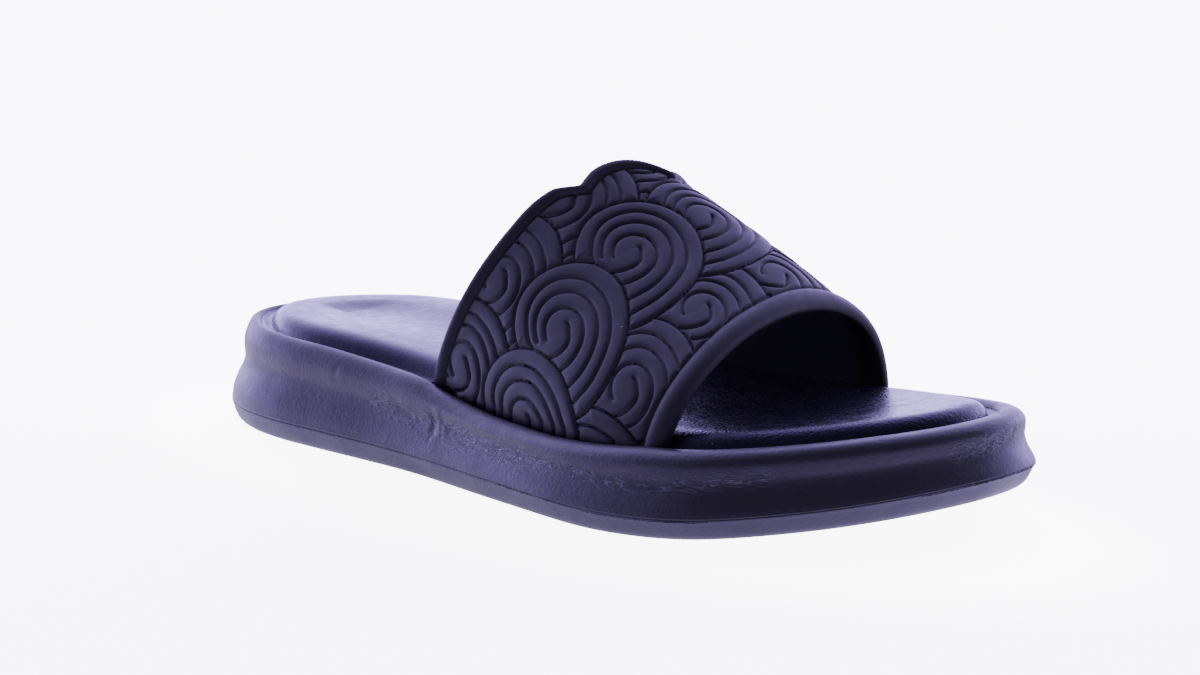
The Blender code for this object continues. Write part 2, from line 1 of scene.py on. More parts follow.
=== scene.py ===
"""Looks of a sport slide sandal (right foot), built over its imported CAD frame.

The frame gives the place of every solid. This script stands finely modelled pieces in
for them: a sole unit with soft skin creases, a grained footbed pad, and a strap whose
cloud and wave relief is worked out from one spiral motif repeated in three rows.

Lengths are in metres in the row frame: toe towards -Y, medial side towards +X, ground at
Z = 0. `along` runs from the heel (0) to the toe, `across` from lateral (-) to medial (+).
"""

import logging
import math
from dataclasses import dataclass
from enum import Enum
from typing import Optional, Sequence

import bmesh
import bpy
import numpy as np
from mathutils import Matrix, Vector
from mathutils.kdtree import KDTree


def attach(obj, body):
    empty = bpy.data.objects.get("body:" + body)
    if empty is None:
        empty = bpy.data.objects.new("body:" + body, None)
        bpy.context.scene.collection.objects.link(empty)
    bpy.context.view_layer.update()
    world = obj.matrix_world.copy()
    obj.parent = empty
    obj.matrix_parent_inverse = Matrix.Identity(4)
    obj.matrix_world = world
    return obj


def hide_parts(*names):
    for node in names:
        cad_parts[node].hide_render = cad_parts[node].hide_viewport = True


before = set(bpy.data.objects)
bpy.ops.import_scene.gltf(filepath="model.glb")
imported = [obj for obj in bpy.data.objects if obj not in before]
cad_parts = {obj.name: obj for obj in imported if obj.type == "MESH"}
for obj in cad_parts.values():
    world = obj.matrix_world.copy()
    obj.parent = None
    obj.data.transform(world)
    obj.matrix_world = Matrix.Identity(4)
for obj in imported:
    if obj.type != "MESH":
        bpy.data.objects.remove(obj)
LOG = logging.getLogger("slide_sandal")
Array = np.ndarray


def smoothstep(value: Array) -> Array:
    """Ease from 0 to 1.

    Args:
        value: Places, 0 at the start of the ease and 1 at its end.

    Returns:
        The eased values.
    """
    clipped = np.clip(value, 0.0, 1.0)
    return clipped * clipped * (3.0 - 2.0 * clipped)


def hermite(knots: Sequence[float], values: Sequence[float], places: Array,
            period: Optional[float] = None) -> Array:
    """Smooth curve through knots, closed when a period is given.

    Args:
        knots: Rising places of the known values.
        values: Known values.
        places: Where the curve is wanted.
        period: Length of one turn of a closed curve.

    Returns:
        The curve's values at the places.
    """
    x = np.asarray(knots, float)
    y = np.asarray(values, float)
    if period is None:
        x = np.concatenate([[2 * x[0] - x[1]], x, [2 * x[-1] - x[-2]]])
        y = np.concatenate([[2 * y[0] - y[1]], y, [2 * y[-1] - y[-2]]])
        at = np.clip(places, x[1], x[-2])
        low, high = 1, len(x) - 3
    else:
        x = np.concatenate([x[-2:] - period, x, x[:2] + period])
        y = np.concatenate([y[-2:], y, y[:2]])
        at = np.mod(places - knots[0], period) + knots[0]
        low, high = 2, len(x) - 3
    index = np.clip(np.searchsorted(x, at, side="right") - 1, low, high)
    before = x[1:-1] - x[:-2]
    after = x[2:] - x[1:-1]
    rise = ((y[1:-1] - y[:-2]) / before * after + (y[2:] - y[1:-1]) / after * before)
    slope = np.concatenate([[0.0], rise / (before + after), [0.0]])
    span = x[index + 1] - x[index]
    part = (at - x[index]) / span
    return ((2 * part ** 3 - 3 * part ** 2 + 1) * y[index]
            + (part ** 3 - 2 * part ** 2 + part) * span * slope[index]
            + (3 * part ** 2 - 2 * part ** 3) * y[index + 1]
            + (part ** 3 - part ** 2) * span * slope[index + 1])


def refine_rows(table: Array, steps: int) -> Array:
    """Pass a smooth curve through the rows of a table.

    Args:
        table: One row for each ring, one column for each quantity.
        steps: Spans that each pair of rows is divided into.

    Returns:
        The table with the rows between filled in.
    """
    count = len(table)
    places = np.linspace(0, count - 1, (count - 1) * steps + 1)
    columns = [hermite(np.arange(count), table[:, k], places) for k in range(table.shape[1])]
    return np.stack(columns, axis=1)


@dataclass(frozen=True)
class SoleSizes:
    """Driving sizes of the sole unit, as in the CAD part."""

    length: float = 0.255
    width: float = 0.1027
    heel_height: float = 0.0290
    toe_height: float = 0.0199
    outsole_heel: float = 0.0063
    outsole_toe: float = 0.0052
    thinning_start: float = 0.325
    toe_spring: float = 0.0122
    spring_start: float = 0.65
    spring_power: float = 1.7
    heel_lift: float = 0.0006
    heel_lift_end: float = 0.12
    rim_sag: float = 0.0008
    arch_relief: float = 0.0002
    arch_start: float = 0.30
    arch_end: float = 0.48
    joint_gap: float = 0.0003
    crest_inset: float = 0.0075
    rim_lip: float = 0.0017
    trench_depth: float = 0.0070
    valley_depth: float = 0.0027
    pad_rise: float = 0.0026
    pad_shoulder: float = 0.0046
    heel_dish: float = 0.0022
    ball_dish: float = 0.0014
    arch_support: float = 0.0022
    toe_tip_across: float = 0.049
    heel_pull: float = 0.0017
    heel_droop: float = 0.0012
    heel_droop_reach: float = 0.07
    heel_swell: float = 0.0008
    heel_swell_at: float = 0.23
    heel_swell_reach: float = 0.10
    heel_shallow: float = 0.6
    heel_shallow_reach: float = 0.045
    toe_droop: float = 0.0008
    toe_droop_reach: float = 0.06
    spine_start: float = 0.14
    spine_end: float = 0.84
    edge_lift: float = 0.0011
    edge_lift_at: float = 0.62
    edge_lift_reach: float = 0.15
    foot_dip: float = 0.0030
    foot_step: float = 0.0012


@dataclass(frozen=True)
class StrapSizes:
    """Driving sizes of the strap, as in the CAD part."""

    instep_height: float = 0.0810
    wall: float = 0.0026
    bead_rise: float = 0.0010
    rear_bead: float = 0.0041
    front_bead: float = 0.0066
    front_overhang: float = 0.0033
    rear_overhang: float = 0.0009
    base_flare: float = 0.30
    crown_bulge: float = 0.0019
    crown_start: float = 0.42
    crown_end: float = 0.94
    crown_ease: float = 0.20
    step_reach: float = 0.12
    skin_inset: float = 0.00012


# Outline over the parting lip: along, lateral and medial half widths, as shares
OUTLINE = (
    (0.010, 0.112, 0.131), (0.030, 0.194, 0.227), (0.060, 0.265, 0.314),
    (0.100, 0.321, 0.383), (0.160, 0.360, 0.430), (0.240, 0.376, 0.437),
    (0.340, 0.393, 0.420), (0.440, 0.432, 0.412), (0.540, 0.488, 0.425),
    (0.640, 0.534, 0.447), (0.720, 0.541, 0.457), (0.800, 0.513, 0.449),
    (0.870, 0.424, 0.402), (0.920, 0.334, 0.344), (0.960, 0.226, 0.278),
    (0.985, 0.116, 0.206),
)
# Rim beside the strap's lateral foot: along, how far it dips, as shares
FOOT_DIP = (
    (0.300, 0.00), (0.362, 0.00), (0.384, 0.13), (0.404, 0.38), (0.443, 0.76), (0.498, 1.00),
    (0.549, 0.96), (0.604, 0.80), (0.659, 0.46), (0.694, 0.22), (0.735, 0.00),
    (0.800, 0.00),
)


class SoleShape:
    """The sole's outline and heights, which every piece of the sole unit is worked out from."""

    def __init__(self, sizes: SoleSizes, half_count: int = 210) -> None:
        """Work out the outline.

        Args:
            sizes: Driving sizes.
            half_count: Stations along each side.
        """
        self.sizes = sizes
        self.half_count = half_count
        rows = np.array(OUTLINE)
        turn = np.arccos(1.0 - 2.0 * rows[:, 0])
        knots = np.concatenate([[0.0], turn, [math.pi], 2.0 * math.pi - turn[::-1]])
        widths = np.concatenate([[0.0], -rows[:, 1], [sizes.toe_tip_across], rows[::-1, 2]])
        angles = math.pi * np.arange(2 * half_count) / half_count
        across = hermite(knots, widths * sizes.width, angles, 2.0 * math.pi)
        along = 0.5 * sizes.length * (1.0 - np.cos(angles))
        self.loop = np.stack([along, self._soften(across)], axis=1)
        self.centre = 0.5 * (self.loop[:, 1].min() + self.loop[:, 1].max())
        step = np.roll(self.loop, -1, axis=0) - np.roll(self.loop, 1, axis=0)
        normals = np.stack([step[:, 1], -step[:, 0]], axis=1)
        self.normals = normals / np.linalg.norm(normals, axis=1)[:, None]

    @staticmethod
    def _soften(values: Array) -> Array:
        """Round off the small changes of curvature at the outline's knots.

        Args:
            values: Widths around the outline.

        Returns:
            The smoothed widths.
        """
        offsets = np.arange(-6, 7)
        weights = np.exp(-(offsets / 3.0) ** 2)
        shifted = np.stack([np.roll(values, k) for k in offsets])
        return (shifted * (weights / weights.sum())[:, None]).sum(axis=0)

    @property
    def count(self) -> int:
        """Points around the outline."""
        return len(self.loop)

    @property
    def shares(self) -> Array:
        """Distance of each outline point along the shoe, as a share of the length."""
        return self.loop[:, 0] / self.sizes.length

    def inset(self, distance: Array, blend: float = 0.0) -> Array:
        """Move the outline in, then draw it towards the spine.

        Args:
            distance: How far in, for each point.
            blend: Share of the way to the spine.

        Returns:
            Points as (along, across).
        """
        distance = np.broadcast_to(distance, self.count)
        pull = (self.sizes.heel_pull * np.exp(-(self.shares / 0.035) ** 2)
                * smoothstep((distance - 0.0035) / 0.0035))
        moved = self.loop - self.normals * (distance - pull)[:, None]
        if blend == 0.0:
            return moved
        partner = moved[(self.count - np.arange(self.count)) % self.count]
        length = self.sizes.length
        spine = np.stack([np.clip(moved[:, 0], self.sizes.spine_start * length,
                                  self.sizes.spine_end * length),
                          0.5 * (moved[:, 1] + partner[:, 1])], axis=1)
        return moved + (spine - moved) * blend

    def spring(self, share: Array) -> Array:
        """Lift of the underside at the toe and heel.

        Args:
            share: Places along the shoe.

        Returns:
            The lift at each place.
        """
        s = self.sizes
        toe = np.clip((share - s.spring_start) / (1.0 - s.spring_start), 0.0, None)
        heel = np.clip((s.heel_lift_end - share) / s.heel_lift_end, 0.0, None)
        return s.toe_spring * toe ** s.spring_power + s.heel_lift * heel ** 2

    def ground(self, share: Array) -> Array:
        """Height of the underside.

        Args:
            share: Places along the shoe.

        Returns:
            The height at each place.
        """
        s = self.sizes
        part = np.clip((share - s.arch_start) / (s.arch_end - s.arch_start), 0.0, 1.0)
        return self.spring(share) + s.arch_relief * np.sin(math.pi * part) ** 2

    def parting(self, share: Array) -> Array:
        """Height of the joint between outsole and midsole.

        Args:
            share: Places along the shoe.

        Returns:
            The height at each place.
        """
        s = self.sizes
        thinning = smoothstep((share - s.thinning_start) / (1.0 - s.thinning_start))
        return self.spring(share) + s.outsole_heel + (s.outsole_toe - s.outsole_heel) * thinning

    def rim(self, share: Array) -> Array:
        """Height of the crest of the rim.

        Args:
            share: Places along the shoe.

        Returns:
            The height at each place.
        """
        s = self.sizes
        heel = s.heel_height - s.outsole_heel
        toe = s.toe_height - s.outsole_toe
        sag = s.rim_sag * np.sin(math.pi * np.clip(share, 0.0, 1.0)) ** 2
        droop = (s.heel_droop * np.exp(-(share / s.heel_droop_reach) ** 2)
                 + s.toe_droop * np.exp(-((1.0 - share) / s.toe_droop_reach) ** 2)
                 - s.heel_swell * np.exp(-((share - s.heel_swell_at) / s.heel_swell_reach) ** 2))
        return self.parting(share) + heel + (toe - heel) * share - sag - droop

    def side_lift(self) -> Array:
        """How far the lateral edge of the sole curls up at each outline point."""
        s = self.sizes
        lateral = np.arange(self.count) <= self.half_count
        reach = (self.shares - s.edge_lift_at) / s.edge_lift_reach
        return s.edge_lift * np.exp(-reach ** 2) * lateral

    def heel_shallow(self) -> Array:
        """Share that is left of the valley's depth, less around the heel."""
        s = self.sizes
        return 1.0 - s.heel_shallow * np.exp(-(self.shares / s.heel_shallow_reach) ** 2)

    def foot_dip(self) -> Array:
        """Share by which the rim dips beside the strap's lateral foot, at each point."""
        table = np.array(FOOT_DIP)
        lateral = np.arange(self.count) <= self.half_count
        return np.clip(hermite(table[:, 0], table[:, 1], self.shares), 0.0, 1.0) * lateral

    def runs(self) -> Array:
        """Arc length of each outline point from the heel, lateral side first."""
        steps = np.linalg.norm(np.roll(self.loop, -1, axis=0) - self.loop, axis=1)
        return np.concatenate([[0.0], np.cumsum(steps)[:-1]])

    def place(self, flat: Array, up: Array) -> Array:
        """Points of the shoe in the row frame.

        Args:
            flat: Points as (along, across).
            up: Heights.

        Returns:
            Points as (x, y, z).
        """
        return np.stack([flat[..., 1] - self.centre,
                         0.5 * self.sizes.length - flat[..., 0],
                         np.broadcast_to(up, flat[..., 0].shape)], axis=-1)


class MeshKit:
    """Turns arrays of points into closed, smooth objects at the origin."""

    @staticmethod
    def add(name: str, points: Array, faces: list[Sequence[int]]) -> bpy.types.Object:
        """Make an object from points and faces, its faces turned outward.

        Args:
            name: Name of the piece.
            points: Vertices.
            faces: Vertex numbers of each face.

        Returns:
            The object, linked to the scene.
        """
        mesh = bpy.data.meshes.new(name)
        mesh.from_pydata(np.asarray(points, float).tolist(), [], [list(f) for f in faces])
        body = bmesh.new()
        body.from_mesh(mesh)
        bmesh.ops.recalc_face_normals(body, faces=body.faces)
        body.to_mesh(mesh)
        body.free()
        mesh.polygons.foreach_set("use_smooth", [True] * len(mesh.polygons))
        piece = bpy.data.objects.new(name, mesh)
        bpy.context.scene.collection.objects.link(piece)
        return piece

    @staticmethod
    def grid_faces(rows: int, columns: int, start: int = 0, wrap_rows: bool = False,
                   wrap_columns: bool = False) -> list[tuple[int, int, int, int]]:
        """Quads of a grid of points that are stored row by row.

        Args:
            rows: Rows of points.
            columns: Points in a row.
            start: Number of the first point.
            wrap_rows: Whether the last row joins the first.
            wrap_columns: Whether a row closes on itself.

        Returns:
            Vertex numbers of each quad.
        """
        i = np.arange(rows if wrap_rows else rows - 1)
        j = np.arange(columns if wrap_columns else columns - 1)
        low, left = np.meshgrid(i, j, indexing="ij")
        high, right = (low + 1) % rows, (left + 1) % columns
        quads = np.stack([low * columns + left, low * columns + right,
                          high * columns + right, high * columns + left], axis=-1)
        return [tuple(q) for q in (quads.reshape(-1, 4) + start).tolist()]

    @classmethod
    def rings(cls, name: str, rings: Array) -> bpy.types.Object:
        """A closed body from rings, its first and last ring bridged from side to side.

        Args:
            name: Name of the piece.
            rings: Points as [ring, point, xyz].

        Returns:
            The object.
        """
        rows, count = rings.shape[:2]
        faces = cls.grid_faces(rows, count, wrap_columns=True)
        for start in (0, (rows - 1) * count):
            for k in range(count // 2):
                corners = [k, k + 1, (count - k - 1) % count, (count - k) % count]
                faces.append([start + c for c in dict.fromkeys(corners)])
        return cls.add(name, rings.reshape(-1, 3), faces)


@dataclass(frozen=True)
class Crease:
    """One soft trough (or ridge, when depth is negative) in the skin of the side wall."""

    along: float
    height: float
    length: float
    width: float
    depth: float
    angle: float
    bend: float = 0.0


@dataclass(frozen=True)
class WrinkleTrail:
    """Short slanted wrinkles that follow a line on the wall.

    `line` holds (run, height) points; the wrinkles lie within half of `spread` of it.
    """

    line: tuple[tuple[float, float], ...]
    spread: float
    count: int
    length: float
    width: float
    depth: float
    angle: float
    seed: int


class SideSkin:
    """Soft creases of the moulded skin on the side of the midsole.

    Places are the run along the outline from the heel and the height over the parting line.
    """

    MAIN = (
        Crease(0.1293, 0.0100, 0.0105, 0.0011, -0.00040, 110.0, 0.10),
        Crease(0.1268, 0.0095, 0.0130, 0.0013, 0.00042, 108.0, 0.10),
        Crease(0.1320, 0.0087, 0.0080, 0.0008, -0.00024, 118.0, 0.10),
        Crease(0.1150, 0.0096, 0.0230, 0.0012, 0.00026, -20.0, 0.12),
        Crease(0.1450, 0.0066, 0.0300, 0.0013, 0.00020, -6.0, 0.05),
        Crease(0.1650, 0.0072, 0.0420, 0.0012, 0.00020, 4.0, 0.03),
        Crease(0.2050, 0.0098, 0.0360, 0.0012, 0.00020, 12.0, 0.04),
        Crease(0.0480, 0.0150, 0.0300, 0.0030, 0.00016, -6.0, 0.02),
        Crease(0.0850, 0.0160, 0.0060, 0.0008, 0.00018, 62.0, 0.0),
    )
    TRAILS = (
        WrinkleTrail(((0.0990, 0.0112), (0.1130, 0.0100), (0.1233, 0.0076)),
                     0.0030, 26, 0.0062, 0.00045, 0.00011, -16.0, 21),
        WrinkleTrail(((0.1238, 0.0113), (0.1268, 0.0090), (0.1298, 0.0064)),
                     0.0040, 16, 0.0050, 0.00048, 0.00013, 4.0, 22),
        WrinkleTrail(((0.1308, 0.0092), (0.1370, 0.0084), (0.1430, 0.0074), (0.1510, 0.0077),
                      (0.1600, 0.0075), (0.1700, 0.0078)),
                     0.0030, 44, 0.0056, 0.00045, 0.00011, -10.0, 23),
        WrinkleTrail(((0.1680, 0.0078), (0.1800, 0.0082), (0.1930, 0.0080), (0.2060, 0.0078),
                      (0.2200, 0.0082), (0.2450, 0.0096)),
                     0.0018, 40, 0.0060, 0.00042, 0.00009, 6.0, 24),
    )

    def __init__(self, toe_run: float) -> None:
        """List every crease, the trails spelled out.

        Args:
            toe_run: Arc length from the heel to the tip of the toe.
        """
        toe = WrinkleTrail(((toe_run - 0.017, 0.0078), (toe_run - 0.008, 0.0085),
                            (toe_run + 0.002, 0.0090), (toe_run + 0.010, 0.0100)),
                           0.0022, 34, 0.0036, 0.00045, 0.00014, 34.0, 25)
        self.trails = self.TRAILS + (toe,)
        self.creases = list(self.MAIN)
        for trail in self.trails:
            rng = np.random.default_rng(trail.seed)
            line = np.array(trail.line)
            for _ in range(trail.count):
                place = rng.uniform(0.0, len(line) - 1.0)
                run = float(np.interp(place, np.arange(len(line)), line[:, 0]))
                height = float(np.interp(place, np.arange(len(line)), line[:, 1]))
                self.creases.append(Crease(
                    run, height + trail.spread * rng.uniform(-0.5, 0.5),
                    trail.length * rng.uniform(0.6, 1.3), trail.width * rng.uniform(0.85, 1.3),
                    trail.depth * rng.uniform(-1.0, 0.8), trail.angle + rng.uniform(-16.0, 16.0),
                    rng.uniform(-0.2, 0.2)))

    def depth(self, run: Array, height: Array) -> Array:
        """How far the skin is pressed in.

        Args:
            run: Arc length of each point from the heel.
            height: Height of each point over the parting line.

        Returns:
            Depth of the skin at each point.
        """
        total = np.zeros_like(run)
        for crease in self.creases:
            turn = math.radians(crease.angle)
            x = run - crease.along
            z = height - crease.height
            ahead = x * math.cos(turn) + z * math.sin(turn)
            side = -x * math.sin(turn) + z * math.cos(turn)
            side = side - crease.bend * (ahead ** 2) / crease.length * 2.0
            part = ahead / (0.5 * crease.length)
            window = np.where(np.abs(part) < 1.0, (1.0 - part ** 2) ** 2, 0.0)
            total += crease.depth * window * np.exp(-(side / crease.width) ** 2)
        return total

    def wrinkled(self, run: Array, height: Array) -> Array:
        """Strength of the finest wrinkles, 1 on a trail and 0 away from it.

        Args:
            run: Arc length of each point from the heel.
            height: Height of each point over the parting line.

        Returns:
            The strength at each point.
        """
        total = np.zeros_like(run)
        for trail in self.trails:
            line = np.array(trail.line)
            middle = np.interp(run, line[:, 0], line[:, 1])
            beyond = np.maximum(line[0, 0] - run, run - line[-1, 0])
            ends = 1.0 - smoothstep(beyond / 0.004 + 0.5)
            total = np.maximum(total, ends * np.exp(-((height - middle) / trail.spread) ** 2))
        return total


class NodeInput(str, Enum):
    """Sockets of the Principled shader that the finishes set."""

    COLOR = "Base Color"
    ROUGHNESS = "Roughness"
    SPECULAR = "Specular IOR Level"
    TINT = "Specular Tint"
    GLOW = "Emission Strength"
    GLOW_COLOR = "Emission Color"
    NORMAL = "Normal"


class MaterialMaker:
    """Small helper that lays out the nodes of one procedural material."""

    def __init__(self, name: str) -> None:
        """Start a material with its Principled shader.

        Args:
            name: Name of the material.
        """
        self.material = bpy.data.materials.new(name)
        self.material.use_nodes = True
        self.tree = self.material.node_tree
        self.shader = self.tree.nodes["Principled BSDF"]
        self.coordinates = self.tree.nodes.new("ShaderNodeTexCoord")

    def set(self, socket: NodeInput, value: object) -> None:
        """Set a constant on the shader."""
        self.shader.inputs[socket.value].default_value = value

    def link(self, output: bpy.types.NodeSocket, target: bpy.types.NodeSocket) -> None:
        """Join two sockets."""
        self.tree.links.new(output, target)

    def feed(self, output: bpy.types.NodeSocket, socket: NodeInput) -> None:
        """Join a socket to one of the shader's."""
        self.link(output, self.shader.inputs[socket.value])

    def mottle(self, scale: float, first: Sequence[float],
               second: Sequence[float]) -> bpy.types.NodeSocket:
        """Soft patches of two colours."""
        patch = self.remap(self.noise(scale, 4.0, 0.6), 0.35, 0.7, 0.0, 1.0)
        return self.mix(patch, first, second)

    def noise(self, scale: float, detail: float = 2.0, roughness: float = 0.5,
              distortion: float = 0.0,
              stretch: Optional[Sequence[float]] = None) -> bpy.types.NodeSocket:
        """Noise over the object's own coordinates.

        Args:
            scale: Features in a metre.
            detail: Octaves.
            roughness: Strength of the finer octaves.
            distortion: How far it is warped.
            stretch: Scale of each axis.

        Returns:
            The noise's value.
        """
        node = self.tree.nodes.new("ShaderNodeTexNoise")
        node.inputs["Scale"].default_value = scale
        node.inputs["Detail"].default_value = detail
        node.inputs["Roughness"].default_value = roughness
        node.inputs["Distortion"].default_value = distortion
        place = self.coordinates.outputs["Object"]
        if stretch is not None:
            mapping = self.tree.nodes.new("ShaderNodeMapping")
            mapping.inputs["Scale"].default_value = stretch
            self.link(place, mapping.inputs["Vector"])
            place = mapping.outputs["Vector"]
        self.link(place, node.inputs["Vector"])
        return node.outputs["Fac"]

    def remap(self, value: bpy.types.NodeSocket, low: float, high: float, to_low: float,
              to_high: float) -> bpy.types.NodeSocket:
        """Map one range of values to another.

        Args:
            value: Value to map.
            low: Start of its range.
            high: End of its range.
            to_low: Result at the start.
            to_high: Result at the end.

        Returns:
            The mapped value.
        """
        node = self.tree.nodes.new("ShaderNodeMapRange")
        self.link(value, node.inputs["Value"])
        node.inputs["From Min"].default_value = low
        node.inputs["From Max"].default_value = high
        node.inputs["To Min"].default_value = to_low
        node.inputs["To Max"].default_value = to_high
        return node.outputs["Result"]

    def math(self, operation: str, first: bpy.types.NodeSocket,
             second: object) -> bpy.types.NodeSocket:
        """Join two values by a sum, product or other operation.

        Args:
            operation: Kind of the operation.
            first: First value.
            second: A socket or a number.

        Returns:
            The result.
        """
        node = self.tree.nodes.new("ShaderNodeMath")
        node.operation = operation
        self.link(first, node.inputs[0])
        if isinstance(second, bpy.types.NodeSocket):
            self.link(second, node.inputs[1])
        else:
            node.inputs[1].default_value = second
        return node.outputs["Value"]

    def mix(self, factor: bpy.types.NodeSocket, first: Sequence[float],
            second: Sequence[float]) -> bpy.types.NodeSocket:
        """Blend two colours.

        Args:
            factor: Share of the second colour.
            first: First colour.
            second: Second colour.

        Returns:
            The blend.
        """
        node = self.tree.nodes.new("ShaderNodeMix")
        node.data_type = "RGBA"
        self.link(factor, node.inputs["Factor"])
        node.inputs["A"].default_value = (*first, 1.0)
        node.inputs["B"].default_value = (*second, 1.0)
        return node.outputs["Result"]

    def vector(self, operation: str, first: bpy.types.NodeSocket, second: Sequence[float],
               output: str) -> bpy.types.NodeSocket:
        """Work on a vector: its product, its length or its direction.

        Args:
            operation: Kind of the operation.
            first: The vector.
            second: What it is joined with.
            output: Name of the socket that is wanted.

        Returns:
            The result.
        """
        node = self.tree.nodes.new("ShaderNodeVectorMath")
        node.operation = operation
        self.link(first, node.inputs[0])
        node.inputs[1].default_value = second
        return node.outputs[output]

    def bump(self, height: bpy.types.NodeSocket, distance: float, strength: float,
             before: Optional[bpy.types.NodeSocket] = None) -> bpy.types.NodeSocket:
        """Tilt the surface by a height.

        Args:
            height: Height of the surface.
            distance: Depth of a height of 1.
            strength: Share of the effect.
            before: Normal that is tilted further.

        Returns:
            The tilted normal.
        """
        node = self.tree.nodes.new("ShaderNodeBump")
        node.inputs["Distance"].default_value = distance
        node.inputs["Strength"].default_value = strength
        self.link(height, node.inputs["Height"])
        if before is not None:
            self.link(before, node.inputs["Normal"])
        return node.outputs["Normal"]


@dataclass(frozen=True)
class MouldedFoam:
    """Satin skin of moulded foam, with faint mottling, a fine orange-peel surface and, when
    wrinkled, a painted highlight along the wrinkle crests.
    """

    name: str
    color: tuple[float, float, float] = (0.0042, 0.0039, 0.0064)
    worn: tuple[float, float, float] = (0.0054, 0.0050, 0.0081)
    roughness: float = 0.40
    peel: float = 0.00011
    # Lighter colour painted along the wrinkle crests: a painted highlight.
    wrinkle_highlight: tuple[float, float, float] = (0.034, 0.031, 0.048)
    wrinkled: bool = False
    tint: tuple[float, float, float, float] = (0.90, 0.82, 0.96, 1.0)
    specular: float = 0.40

    def build(self) -> bpy.types.Material:
        """Make the material.

        Returns:
            The material.
        """
        maker = MaterialMaker(self.name)
        base = maker.mottle(38.0, self.color, self.worn)
        maker.feed(base, NodeInput.COLOR)
        gloss = maker.remap(maker.noise(120.0, 3.0, 0.6), 0.3, 0.7,
                            self.roughness - 0.05, self.roughness + 0.07)
        maker.feed(gloss, NodeInput.ROUGHNESS)
        maker.set(NodeInput.TINT, self.tint)
        maker.set(NodeInput.SPECULAR, self.specular)
        fine = maker.bump(maker.noise(1300.0, 2.0, 0.6), self.peel, 0.9)
        coarse = maker.bump(maker.noise(420.0, 2.0, 0.5), self.peel * 2.0, 0.28, fine)
        if self.wrinkled:
            net = maker.noise(430.0, 1.0, 0.5, 0.6, (0.6, 0.40, 2.2))
            ridge = maker.math("ABSOLUTE", maker.math("SUBTRACT", net, 0.5), 0.0)
            crest = maker.remap(ridge, 0.0, 0.07, 1.0, 0.0)
            mark = maker.tree.nodes.new("ShaderNodeAttribute")
            mark.attribute_name = "wrinkle"
            line = maker.math("MULTIPLY", crest, mark.outputs["Fac"])
            coarse = maker.bump(line, 0.00020, 0.7, coarse)
            # Mix the lighter colour in along the wrinkle crests: a painted highlight of the tiny
            # ridges catching the light.
            paint = maker.tree.nodes.new("ShaderNodeMix")
            paint.data_type = "RGBA"
            maker.link(maker.math("MULTIPLY", line, 0.8), paint.inputs["Factor"])
            maker.link(base, paint.inputs["A"])
            paint.inputs["B"].default_value = (*self.wrinkle_highlight, 1.0)
            maker.feed(paint.outputs["Result"], NodeInput.COLOR)
        maker.feed(coarse, NodeInput.NORMAL)
        return maker.material


@dataclass(frozen=True)
class MattRubber:
    """Matt, slightly velvety rubber of the strap."""

    name: str
    color: tuple[float, float, float] = (0.0062, 0.0058, 0.0088)
    worn: tuple[float, float, float] = (0.0076, 0.0071, 0.0106)
    roughness: float = 0.56
    tint: tuple[float, float, float, float] = (1.0, 0.93, 0.98, 1.0)
    specular: float = 0.27

    def build(self) -> bpy.types.Material:
        """Make the material.

        Returns:
            The material.
        """
        maker = MaterialMaker(self.name)
        maker.feed(maker.mottle(55.0, self.color, self.worn), NodeInput.COLOR)
        gloss = maker.remap(maker.noise(260.0, 3.0, 0.6), 0.3, 0.7,
                            self.roughness - 0.04, self.roughness + 0.05)
        maker.feed(gloss, NodeInput.ROUGHNESS)
        maker.set(NodeInput.TINT, self.tint)
        maker.set(NodeInput.SPECULAR, self.specular)
        tooth = maker.bump(maker.noise(2600.0, 2.0, 0.6), 0.00003, 0.6)
        maker.feed(tooth, NodeInput.NORMAL)
        return maker.material


@dataclass(frozen=True)
class GrainedSkin:
    """Glossy skin of the footbed with a fine leather grain."""

    name: str
    color: tuple[float, float, float] = (0.0050, 0.0044, 0.0078)
    worn: tuple[float, float, float] = (0.0064, 0.0056, 0.0098)
    roughness: float = 0.25
    grain: float = 0.00012
    tint: tuple[float, float, float, float] = (0.66, 0.55, 1.0, 1.0)
    specular: float = 0.22

    def build(self) -> bpy.types.Material:
        """Make the material.

        Returns:
            The material.
        """
        maker = MaterialMaker(self.name)
        maker.feed(maker.mottle(48.0, self.color, self.worn), NodeInput.COLOR)
        gloss = maker.remap(maker.noise(300.0, 3.0, 0.6), 0.3, 0.7,
                            self.roughness - 0.06, self.roughness + 0.08)
        maker.feed(gloss, NodeInput.ROUGHNESS)
        maker.set(NodeInput.TINT, self.tint)
        maker.set(NodeInput.SPECULAR, self.specular)
        swell = maker.bump(maker.noise(260.0, 2.0, 0.5, 0.4), 2.0 * self.grain, 0.3)
        split = maker.tree.nodes.new("ShaderNodeSeparateXYZ")
        maker.link(maker.coordinates.outputs["Object"], split.inputs["Vector"])
        crisp = maker.remap(split.outputs["Y"], 0.03, -0.04, 0.7, 3.2)
        pores = maker.math("MULTIPLY", maker.noise(1350.0, 2.0, 0.55, 0.3), crisp)
        grain = maker.bump(pores, self.grain, 0.55, swell)
        maker.feed(grain, NodeInput.NORMAL)
        return maker.material


@dataclass(frozen=True)
class PlainDust:
    """Pale dust, lint and mould flash."""

    name: str
    color: tuple[float, float, float]
    roughness: float = 0.8

    def build(self) -> bpy.types.Material:
        """Make the material.

        Returns:
            The material.
        """
        maker = MaterialMaker(self.name)
        fade = maker.remap(maker.noise(900.0, 2.0), 0.3, 0.7, 0.0, 1.0)
        paler = tuple(min(1.0, c * 1.5) for c in self.color)
        maker.feed(maker.mix(fade, self.color, paler), NodeInput.COLOR)
        maker.set(NodeInput.ROUGHNESS, self.roughness)
        return maker.material


